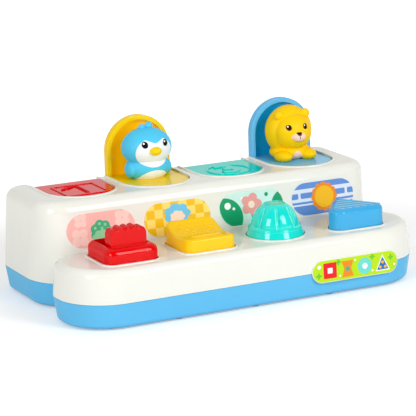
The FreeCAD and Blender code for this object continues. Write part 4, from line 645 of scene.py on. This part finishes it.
def paint_penguin(place):
    """Blue with a white mask that dips between the eyes, a white belly and a yellow beak."""
    paint = Paint("penguin_vinyl", PENGUIN, place)
    ahead = -paint.y
    off_middle = paint.x - 0.9
    dip = paint.math("SQRT", off_middle * off_middle + 2.0)
    below_brow = dip * 0.46 + 32.6 - paint.z
    mask = paint.math("SMOOTH_MIN", paint.oval((0.9, 24.9), (17.4, 13.4)), below_brow, 1.6)
    belly = paint.smaller(paint.oval((1.0, -0.5), (14.5, 9.2)), ahead, 11.0 - paint.z)
    paint.lay(MASK_WHITE, paint.smaller(mask, ahead))
    paint.lay(MASK_WHITE, belly)
    paint.lay(BEAK, paint.smaller(paint.oval((0.0, 26.4), (5.6, 3.8)), ahead - 19.0))
    return vinyl(paint)


def paint_lion(place):
    """Yellow with a pale muzzle and belly."""
    paint = Paint("lion_vinyl", LION, place)
    ahead = -paint.y
    paint.lay(BLUSH, paint.smaller(paint.oval((-0.9, 22.6), (6.6, 4.0)), ahead - 12.0))
    paint.lay(BLUSH, paint.smaller(paint.oval((0.3, 0.0), (5.4, 8.6)), ahead))
    return vinyl(paint)


def paint_crocodile(place):
    """Green with a pale belly, a thin smile and pink cheeks."""
    paint = Paint("crocodile_vinyl", CROCODILE, place)
    ahead = -paint.y
    belly = paint.smaller(paint.oval((0, 3.0), (10.5, 9.5)), ahead - 3.0, 13.0 - paint.z)
    smile = 0.32 - abs(paint.z - 19.6 - paint.x * paint.x * 0.014)
    paint.lay(CROCODILE_BELLY, belly)
    paint.lay(CROCODILE_SMILE, paint.smaller(smile, ahead - 10.0))
    for side in (-1, 1):
        cheek = paint.oval((side * 13.4, 28.5), (3.0, 2.2))
        paint.lay(CROCODILE_CHEEK, paint.smaller(cheek, ahead - 8.0))
    return vinyl(paint)


def paint_hippo(place):
    """Pink with a pale muzzle and belly, and a thin smile."""
    paint = Paint("hippo_vinyl", HIPPO, place)
    ahead = -paint.y
    belly = paint.smaller(paint.oval((0, 3.0), (9.0, 8.0)), ahead - 3.0, 11.0 - paint.z)
    smile = 0.32 - abs(paint.z - 16.2 - paint.x * paint.x * 0.018)
    paint.lay(HIPPO_PALE, paint.smaller(paint.oval((0, 20.6), (18.2, 9.4)), ahead - 13.0))
    paint.lay(HIPPO_PALE, belly)
    paint.lay(HIPPO_SMILE, paint.smaller(smile, ahead - 12.0))
    return vinyl(paint)


def dress_figures():
    ink = gloss_plastic("eye_ink", INK)
    brown = gloss_plastic("eye_brown", BROWN)
    sparkle = gloss_plastic("eye_white", WHITE)
    leaf_dark = gloss_plastic("nostril_green", NOSTRIL_GREEN)
    rose = gloss_plastic("nostril_rose", NOSTRIL_ROSE)

    penguin = Figure("penguin", 2, "penguin_blue")
    penguin.add_eyes(half_gap=10.0, middle=1.1, height=32.4, radii=(2.9, 3.2),
                     dark=ink, sparkle=sparkle)

    lion = Figure("lion", 4, "lion_yellow")
    lion.add_eyes(half_gap=7.9, middle=-1.5, height=31.3, radii=(2.6, 2.8),
                  dark=brown, sparkle=sparkle)
    nose = [(-1.9, -0.6), (0, -1.8), (1.9, -0.6), (2.9, 1.5), (1.5, 2.1), (-1.5, 2.1), (-2.9, 1.5)]
    crease = oval(0.4, 1.5, count=16)
    lion.add_domes("nose", [((-0.9, 0, 25.0), REARWARD, nose, 0.5, 0.0),
                            ((-0.9, 0, 22.1), REARWARD, crease, 0.15, 0.0)], brown)

    crocodile = Figure("crocodile", 1, "crocodile_green")
    whites = both_sides(8.5, 0, 42.2, REARWARD, oval(3.3, 3.5), 0.4)
    crocodile.add_domes("eye_whites", whites, sparkle)
    pupils = both_sides(8.3, 0, 42.0, REARWARD, oval(1.7, 2.0, count=20), 0.25, lift=0.33)
    crocodile.add_domes("pupils", pupils, ink)
    nostrils = both_sides(4.2, 0, 29.0, NOSTRIL_AIM, oval(1.3, 0.9, count=20), 0.25, depth=-19.0)
    crocodile.add_domes("nostrils", nostrils, leaf_dark)
    fang = [(-1.2, 0.9), (1.2, 0.9), (0.35, -1.5), (-0.35, -1.5)]
    teeth = [patch for gap in (3.6, 8.4)
             for patch in both_sides(gap, 0, 18.7 + 0.014 * gap * gap, REARWARD, fang, 0.45)]
    crocodile.add_domes("teeth", teeth, sparkle)

    hippo = Figure("hippo", 3, "hippo_pink")
    hippo.add_eyes(half_gap=7.6, middle=0, height=35.4, radii=(2.0, 2.4),
                   dark=ink, sparkle=sparkle)
    nostrils = both_sides(6.4, 0, 28.4, NOSTRIL_AIM, oval(1.9, 1.3, count=24), 0.25, depth=-17.0)
    hippo.add_domes("nostrils", nostrils, rose)
    inner_ears = both_sides(10.5, 0, 43.2, REARWARD, oval(1.9, 2.1, count=20), 0.2)
    hippo.add_domes("inner_ears", inner_ears, rose)
    teeth = both_sides(5.2, 0, 14.9, REARWARD, rounded_box(1.7, 1.5, 0.7), 0.5)
    hippo.add_domes("teeth", teeth, sparkle)


# --- Lids ----------------------------------------------------------------------------------------


def paint_lid(name, colour, recess_shade=None, through=0.0):
    """Lid plastic; inside an open lid's rim the thinner skin gets a deeper tone as painted shade, and a painted
    glow of that tone.
    """
    paint = Paint(name, colour)
    if recess_shade:
        skin_y = hinge_point(OPEN_AT_REST[0]).y / MM + SKIN_BEHIND
        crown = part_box(f"flap_{OPEN_AT_REST[0]}")[1].z / MM
        inside = paint.smaller(paint.y - skin_y, -paint.facing[1] - SKIN_FACING,
                               crown - LID_RIM - paint.z)
        # painted glow: an emission of the deeper tone on the skin inside the open lid
        paint.paint_glow(recess_shade, inside, through, edge=SKIN_BLUR)
        # painted shade: the deeper tone laid on the skin inside the open lid
        paint.lay(recess_shade, inside, edge=SKIN_BLUR)
    return paint.finish(0.15, mottle=0.02, grain=6.0, depth=0.02, coat=0.4, shine=0.02)


def outlined_one(name, height):
    """A plain 1 as a curve. The font's own 1 has a foot."""
    curve = bpy.data.curves.new(name, "CURVE")
    curve.dimensions = "2D"
    stroke = curve.splines.new("POLY")
    stroke.points.add(len(DIGIT_ONE) - 1)
    for point, (across, along) in zip(stroke.points, DIGIT_ONE):
        point.co = (across * height, along * height, 0, 1)
    stroke.use_cyclic_u = True
    return curve


def font_digit(name, number, height):
    curve = bpy.data.curves.new(name, "FONT")
    curve.body = str(number)
    curve.size = height / CAP_SHARE
    curve.align_x = "CENTER"
    curve.align_y = "CENTER"
    curve.offset = height * DIGIT_SWELL
    return curve


def add_number(lane, material):
    """The raised number on a lid, square on its mark."""
    name = f"lid_number_{lane}"
    height = DIGIT_HEIGHTS[lane] * MM
    curve = outlined_one(name, height) if lane == 1 else font_digit(name, lane, height)
    curve.extrude = (DIGIT_RISE - DIGIT_EDGE) * MM
    curve.bevel_depth = DIGIT_EDGE * MM
    curve.bevel_resolution = 2
    curve.materials.append(material)
    number = bpy.data.objects.new(name, curve)
    bpy.context.scene.collection.objects.link(number)
    location, rotation, _ = mark_place(lane).decompose()
    number.location = location
    number.rotation_mode = "QUATERNION"
    number.rotation_quaternion = rotation
    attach(number, f"flap_{lane}_body")


# --- Push button ---------------------------------------------------------------------------------


def paint_ribs(field_top):
    """The button's plastic, with a painted highlight that makes the ribs' crests paler, where they catch the
    light.
    """
    paint = Paint("rib_plastic", BUTTON_BLUE)
    # painted highlight: the upper half of each rib is paler
    paint.lay(BUTTON_CREST_HIGHLIGHT, paint.z - field_top - RIB_RISE / 2, edge=CREST_HIGHLIGHT_BLUR)
    return polished(paint, coat=0.2)


def stack(bm, rings):
    """Adds a closed form. A ring is (outline, height); all outlines have as many points, and the
    rings go from the foot up."""
    rows = [[bm.verts.new(Vector((x, y, z)) * MM) for x, y in outline] for outline, z in rings]
    for lower, upper in zip(rows, rows[1:]):
        for k in range(len(lower)):
            bm.faces.new((lower[k - 1], lower[k], upper[k], upper[k - 1]))
    bm.faces.new(rows[0][::-1])
    bm.faces.new(rows[-1])


def hull_of_discs(centres, radius, count=72):
    """The outline of a band drawn tight round discs of one radius."""
    points = []
    for k in range(count):
        out = Vector((math.cos(2 * math.pi * k / count), math.sin(2 * math.pi * k / count)))
        points.append(max(centres, key=out.dot) + out * radius)
    return points


def crossing(outline, base, along):
    """Where a line enters and leaves an outline, as distances from its base point, or None."""
    side = Vector((-along.y, along.x))
    reaches = []
    for start, end in zip(outline, outline[1:] + outline[:1]):
        a, b = (start - base).dot(side), (end - base).dot(side)
        if (a > 0) != (b > 0):
            reaches.append((start.lerp(end, a / (a - b)) - base).dot(along))
    return (min(reaches), max(reaches)) if reaches else None


def add_ribs():
    """A thin ribbed field that covers the button's top inside its edge rounding."""
    low, high = (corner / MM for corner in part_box("push_button"))
    apex = Vector(((low.x + high.x) / 2, high.y - BUTTON_CORNER))
    left = Vector((low.x + BUTTON_CORNER, low.y + BUTTON_CORNER))
    right = Vector((high.x - BUTTON_CORNER, low.y + BUTTON_CORNER))
    field = hull_of_discs((apex, left, right), BUTTON_CORNER - RIB_FIELD_INSET)
    bm = bmesh.new()
    stack(bm, ((field, high.z - RIB_FIELD_DEPTH), (field, high.z)))
    along = (right - apex).normalized()
    inward = Vector((along.y, -along.x))
    margin = RIB_INSET + RIB_WIDTH / 2
    base = apex - inward * (BUTTON_CORNER - RIB_FIELD_INSET - margin)
    while crossing(field, base, along):
        near, far = crossing(field, base, along)
        if far - near > 2 * margin:
            start, end = base + along * (near + margin), base + along * (far - margin)
            stack(bm, [(bar(start, end, RIB_WIDTH * math.sqrt(1 - share * share)),
                        high.z + RIB_RISE * share) for share in RIB_LEVELS])
        base = base + inward * RIB_PITCH
    add_piece("push_button_ribs", bm, paint_ribs(high.z), "button")


# --- Stickers ------------------------------------------------------------------------------------


def paint_pink_sticker(place):
    """Big pale four-petal blossoms."""
    paint = Paint("pink_film", PAPER_PINK, place)
    for centre, reach in (((-18.6, 9.0), 2.6), ((-20.0, -5.4), 3.4), ((20.0, 7.0), 3.1),
                          ((16.0, -9.0), 3.0)):
        petals = [paint.oval((centre[0] + across * reach, centre[1] + up * reach),
                             (1.15 * reach, 1.15 * reach))
                  for across in (-1, 1) for up in (-1, 1)]
        paint.lay(PAPER_BLOSSOM, paint.larger(*petals))
    return printed(paint)


def paint_checked_sticker(place):
    """Checks in two yellows."""
    paint = Paint("checked_film", PAPER_YELLOW, place)
    check = 7.8
    across = abs(paint.repeat(paint.x + check / 4, 2 * check)) - check / 2
    along = abs(paint.repeat(paint.z + check / 3, 2 * check)) - check / 2
    same = paint.larger(paint.smaller(across, along), paint.smaller(-across, -along))
    paint.lay(PAPER_CHECK, same)
    return printed(paint)


def paint_leafy_sticker(place):
    """Big leaves that run off the edge, with loose discs."""
    paint = Paint("leafy_film", PAPER_MINT, place)
    for centre, half_length, half_width, degrees in (((-20.0, -2.5), 16.0, 9.6, -56),
                                                     ((26.0, 1.0), 10.5, 5.8, 76)):
        paint.lay(LEAF_GREEN, paint.almond(centre, half_length, half_width, degrees))
    for centre, radius, colour in (((-23.2, 3.6), 3.1, WHITE), ((-17.4, 0.6), 1.3, WHITE),
                                   ((15.4, 9.6), 1.8, LEAF_GREEN), ((-8.6, 8.6), 1.4, WHITE)):
        paint.lay(colour, paint.oval(centre, (radius, radius)))
    return printed(paint)


def paint_striped_sticker(place):
    """A broad pale band with rounded blocks in it, and a thin pale line below."""
    paint = Paint("striped_film", PAPER_BLUE, place)
    band = 5.7 - abs(paint.z - 3.5)
    line = 0.75 - abs(paint.z + 4.9)
    paint.lay(PAPER_STRIPE, paint.larger(band, line))
    corner = 1.1
    across = paint.larger(abs(paint.repeat(paint.x, 15.8)) - 6.7 + corner, 0.0)
    along = paint.larger(abs(paint.z - 3.2) - 2.5 + corner, 0.0)
    paint.lay(PAPER_BLUE, corner - paint.math("SQRT", across * across + along * along))
    return printed(paint)


def paint_badge(place):
    """Lime with darker small crosses of leaves."""
    paint = Paint("badge_film", LIME, place)
    for centre in ((-36.0, -3.4), (17.0, 6.6), (35.4, 3.8), (-16.6, 6.4)):
        u, w = paint.x - centre[0], paint.z - centre[1]
        cross = paint.larger(paint.oval((0, 0), (2.9, 1.1), u, w),
                             paint.oval((0, 0), (1.1, 2.9), u, w))
        paint.lay(LIME_DEEP, cross)
    return printed(paint)


def dress_stickers(places):
    """The motifs in the middle of each sticker, and the plain shapes along the badge."""
    inks = {name: printed(Paint(f"ink_{name}", colour)) for name, colour in INKS.items()}

    bush = rosette(10.4, 7, 0.14, (0, -2.4))
    hedge = [(x * 1.1, max(y, -13.6)) for x, y in rosette(8.6, 9, 0.12, (0, -9.0))]
    flowers = [rosette(1.5, 5, 0.3, centre, 30)
               for centre in ((-5.6, 1.0), (-1.4, 4.4), (3.8, 3.2), (6.4, -0.8), (0.6, 0.4))]
    print_on(places[1], (
        ("bush", inks["green"], 1, [bush]),
        ("hedge", inks["pale_green"], 2, [hedge]),
        ("bush_flowers", inks["pale_green"], 2, flowers)))

    cloud = [(1.35 * x, max(y, -4.4)) for x, y in rosette(9.6, 7, 0.18, (0, 3.4))]
    puff = [(1.3 * x, max(y, -3.4)) for x, y in rosette(5.6, 7, 0.16, (0, 0.8))]
    drops = [drop(5.0, 2.9, base) for base in ((-7.0, -11.2), (0, -12.6), (7.0, -11.2))]
    print_on(places[2], (
        ("rain_cloud", inks["sky"], 1, [cloud]),
        ("cloud_light", inks["cream"], 2, [puff]),
        ("rain_drops", inks["deep_blue"], 1, drops)))

    bloom = (0, 2.4)
    print_on(places[3], (
        ("flower_stem", inks["green"], 1, [bar((0, -13.4), (0, -4.0), 1.6)]),
        ("flower_petals", inks["pink"], 2, [rosette(10.4, 5, 0.3, bloom)]),
        ("flower_heart", inks["cream"], 3, [oval(3.2, 3.2, bloom)])))

    sun = (1.0, 0.4)
    print_on(places[4], (
        ("sun_rays", inks["orange"], 1, [rosette(13.2, 12, 0.12, sun)]),
        ("sun_disc", inks["gold"], 2, [oval(9.6, 9.6, sun)])))

    square_middle, glass_middle, disc_middle = (-25.5, 0.2), (-8.2, -0.4), (8.8, -0.4)
    glass = [(glass_middle[0] + across, glass_middle[1] + up) for across, up in
             ((-5.8, 7.0), (-3.4, 0), (-5.8, -7.0), (5.8, -7.0), (3.4, 0), (5.8, 7.0))]
    triangle = [(19.4, -6.8), (33.6, -6.8), (26.5, 7.2)]
    inner_triangle = [(20.9, -5.9), (32.1, -5.9), (26.5, 5.2)]
    middles = [oval(2.6, 2.6, disc_middle), rounded_box(2.4, 2.4, 0.6, square_middle)]
    spots = [oval(1.3, 1.3, centre, 20) for centre in ((26.5, 0.6), (24.0, -3.6), (29.0, -3.6))]
    dots = [oval(0.9, 0.9, centre, 16)
            for centre in ((-15.9, -5.6), (-0.5, 6.2), (16.4, -5.4), (38.0, -2.8))]
    dots.append(oval(1.7, 1.7, (-36.0, 4.4)))
    print_on(places["badge"], (
        ("badge_square", inks["red"], 1, [rounded_box(6.4, 6.8, 0.9, square_middle)]),
        ("badge_hourglass", inks["orange"], 1, [glass]),
        ("badge_disc", inks["teal"], 1, [oval(7.0, 7.2, disc_middle)]),
        ("badge_triangle", inks["white"], 1, [triangle]),
        ("badge_triangle_middle", inks["deep_blue"], 2, [inner_triangle]),
        ("badge_star", inks["green"], 2, [star(3.4, 1.6, 6, glass_middle)]),
        ("badge_middles", inks["white"], 2, middles),
        ("badge_triangle_spots", inks["gold"], 3, spots),
        ("badge_dots", inks["white"], 1, dots)))


# --- Studio --------------------------------------------------------------------------------------


def add_camera():
    """The photograph's viewpoint."""
    ahead = Vector((math.sin(CAMERA_YAW) * math.cos(CAMERA_PITCH),
                    math.cos(CAMERA_YAW) * math.cos(CAMERA_PITCH), -math.sin(CAMERA_PITCH)))
    right = Vector((math.cos(CAMERA_YAW), -math.sin(CAMERA_YAW), 0))
    up = right.cross(ahead)
    tilted_right = right * math.cos(CAMERA_ROLL) + up * math.sin(CAMERA_ROLL)
    tilted_up = up * math.cos(CAMERA_ROLL) - right * math.sin(CAMERA_ROLL)
    axes = Matrix((tilted_right, tilted_up, -ahead)).transposed().to_4x4()
    data = bpy.data.cameras.new("camera")
    data.sensor_width = SENSOR_WIDTH
    data.lens = FOCAL_PIXELS / PHOTO_PIXELS * data.sensor_width
    data.clip_end = CLIP_END
    camera = bpy.data.objects.new("camera", data)
    camera.matrix_world = Matrix.Translation(CAMERA_PLACE) @ axes
    bpy.context.scene.collection.objects.link(camera)
    bpy.context.scene.camera = camera


def add_lamp(name, watts, position):
    """A rectangular soft box that points at the toy."""
    data = bpy.data.lights.new(name, "AREA")
    data.shape = "RECTANGLE"
    data.energy = watts
    data.size, data.size_y = LAMP_SIZE
    lamp = bpy.data.objects.new(name, data)
    lamp.location = position
    lamp.rotation_mode = "QUATERNION"
    towards = Vector(LAMP_TARGET) - Vector(position)
    lamp.rotation_quaternion = towards.to_track_quat("-Z", "Y")
    bpy.context.scene.collection.objects.link(lamp)


def joined(tree, operation, *terms):
    """The output of a math node on sockets and numbers."""
    node = tree.nodes.new("ShaderNodeMath")
    node.operation = operation
    for socket, term in zip(node.inputs, terms):
        if isinstance(term, bpy.types.NodeSocket):
            tree.links.new(term, socket)
        else:
            socket.default_value = term
    return node.outputs[0]


def ray_share(tree, *kinds):
    """1 for rays of the given kinds, 0 for the light that falls on surfaces."""
    path = tree.nodes.new("ShaderNodeLightPath")
    total = path.outputs[kinds[0]]
    for kind in kinds[1:]:
        total = joined(tree, "MAXIMUM", total, path.outputs[kind])
    return total


def ranged(tree, value, low, high, start, end):
    """A smooth rise from start to end while the value goes from low to high."""
    node = tree.nodes.new("ShaderNodeMapRange")
    node.interpolation_type = "SMOOTHSTEP"
    tree.links.new(value, node.inputs["Value"])
    for name, number in (("From Min", low), ("From Max", high), ("To Min", start), ("To Max", end)):
        node.inputs[name].default_value = number
    return node.outputs["Result"]


def add_world():
    """A white room that lights more softly than it shows, darker to a gloss where the viewer is."""
    world = bpy.data.worlds.new("studio")
    world.use_nodes = True
    tree = world.node_tree
    coordinates = tree.nodes.new("ShaderNodeTexCoord")
    axes = tree.nodes.new("ShaderNodeSeparateXYZ")
    tree.links.new(coordinates.outputs["Generated"], axes.inputs[0])
    gloss = ranged(tree, axes.outputs["Y"], -GLOSS_FADE, GLOSS_FADE,
                   DARK_AHEAD - AMBIENT, 1.0 - AMBIENT)
    camera = ray_share(tree, "Is Camera Ray")
    mirrored = ray_share(tree, "Is Glossy Ray", "Is Transmission Ray")
    strength = joined(tree, "MULTIPLY_ADD", mirrored, gloss, AMBIENT)
    strength = joined(tree, "MULTIPLY_ADD", camera, 1.0 - AMBIENT, strength)
    background = tree.nodes["Background"]
    background.inputs["Color"].default_value = (1, 1, 1, 1)
    tree.links.new(strength, background.inputs["Strength"])
    bpy.context.scene.world = world


def add_floor():
    """A wide pale sheet that shows white and keeps the toy's shadow."""
    bm = bmesh.new()
    bmesh.ops.create_grid(bm, x_segments=8, y_segments=8, size=FLOOR_HALF)
    mesh = bpy.data.meshes.new("floor")
    bm.to_mesh(mesh)
    bm.free()
    floor = bpy.data.objects.new("floor", mesh)
    floor.location.z = CAD_BOX[0].z - FLOOR_DROP
    bpy.context.scene.collection.objects.link(floor)

    paint = Paint("floor_paper", (FLOOR_SHADE, FLOOR_SHADE, FLOOR_SHADE, 1))
    paint.finish(0.9, mottle=0.01, grain=3.0, depth=0.01)
    tree = paint.tree
    distance = paint.math("SQRT", paint.x * paint.x + paint.y * paint.y) * MM
    lift = ranged(tree, distance.socket, FLOOR_NEAR, FLOOR_FAR, FLOOR_LIFT_NEAR, FLOOR_LIFT_FAR)
    seen = ray_share(tree, "Is Camera Ray", "Is Glossy Ray", "Is Transmission Ray")
    glow = tree.nodes.new("ShaderNodeEmission")
    tree.links.new(joined(tree, "MULTIPLY", lift, seen), glow.inputs["Strength"])
    total = tree.nodes.new("ShaderNodeAddShader")
    tree.links.new(paint.shader.outputs[0], total.inputs[0])
    tree.links.new(glow.outputs[0], total.inputs[1])
    tree.links.new(total.outputs[0], tree.nodes["Material Output"].inputs["Surface"])
    mesh.materials.append(paint.material)


# --- The scene -----------------------------------------------------------------------------------


sticker_places = {lane: front_face_place(f"panel_sticker_{lane}") for lane in LANE_NUMBERS}
sticker_places["badge"] = front_face_place("badge_sticker")

SLOT_MATERIALS = {
    "shell_white": gloss_plastic("shell_plastic", SHELL, coat=0.6, coat_ior=1.5),
    "tray_blue": gloss_plastic("tray_plastic", TRAY),
    "foot_rubber": rubber("foot_rubber", FOOT),
    "steel": steel("zinc_steel"),
    "inner_grey": matt_plastic("inner_plastic", INNER_GREY),
    "latch_grey": matt_plastic("latch_plastic", LATCH_GREY),
    "red": gloss_plastic("slider_plastic", RED),
    "yellow": gloss_plastic("rocker_plastic", YELLOW),
    "turquoise": gloss_plastic("knob_plastic", TURQUOISE, coat=0.1, shine=0.5),
    "button_blue": gloss_plastic("button_plastic", BUTTON_BLUE, coat=0.2),
    "flap_red": paint_lid("lid_red", LID_RED),
    # the open yellow lid: painted shade on its inner skin, and a painted glow at the share given as through
    "flap_yellow": paint_lid("lid_yellow", LID_YELLOW, LID_YELLOW_RECESS_SHADE, through=0.3),
    "flap_teal": paint_lid("lid_teal", LID_TEAL),
    # the open blue lid: painted shade on its inner skin, and a painted glow at the share given as through
    "flap_blue": paint_lid("lid_blue", LID_BLUE, LID_BLUE_RECESS_SHADE, through=0.15),
    "crocodile_green": paint_crocodile(figure_place(1)),
    "penguin_blue": paint_penguin(figure_place(2)),
    "hippo_pink": paint_hippo(figure_place(3)),
    "lion_yellow": paint_lion(figure_place(4)),
    "sticker_pink": paint_pink_sticker(sticker_places[1]),
    "sticker_yellow": paint_checked_sticker(sticker_places[2]),
    "sticker_mint": paint_leafy_sticker(sticker_places[3]),
    "sticker_blue": paint_striped_sticker(sticker_places[4]),
    "badge_lime": paint_badge(sticker_places["badge"]),
}

for subpart in frame["record"]["subparts"]:
    materials = frame["nodes"][subpart["node"]].data.materials
    materials.clear()
    materials.append(SLOT_MATERIALS[subpart["material_slot"]])

dress_figures()
for lane in LANE_NUMBERS:
    add_number(lane, SLOT_MATERIALS[LID_SLOTS[lane]])
add_ribs()
dress_stickers(sticker_places)

bpy.context.scene.view_settings.view_transform = "Standard"
add_world()
add_floor()
for lamp, (watts, position) in LAMPS.items():
    add_lamp(lamp, watts, position)
add_camera()
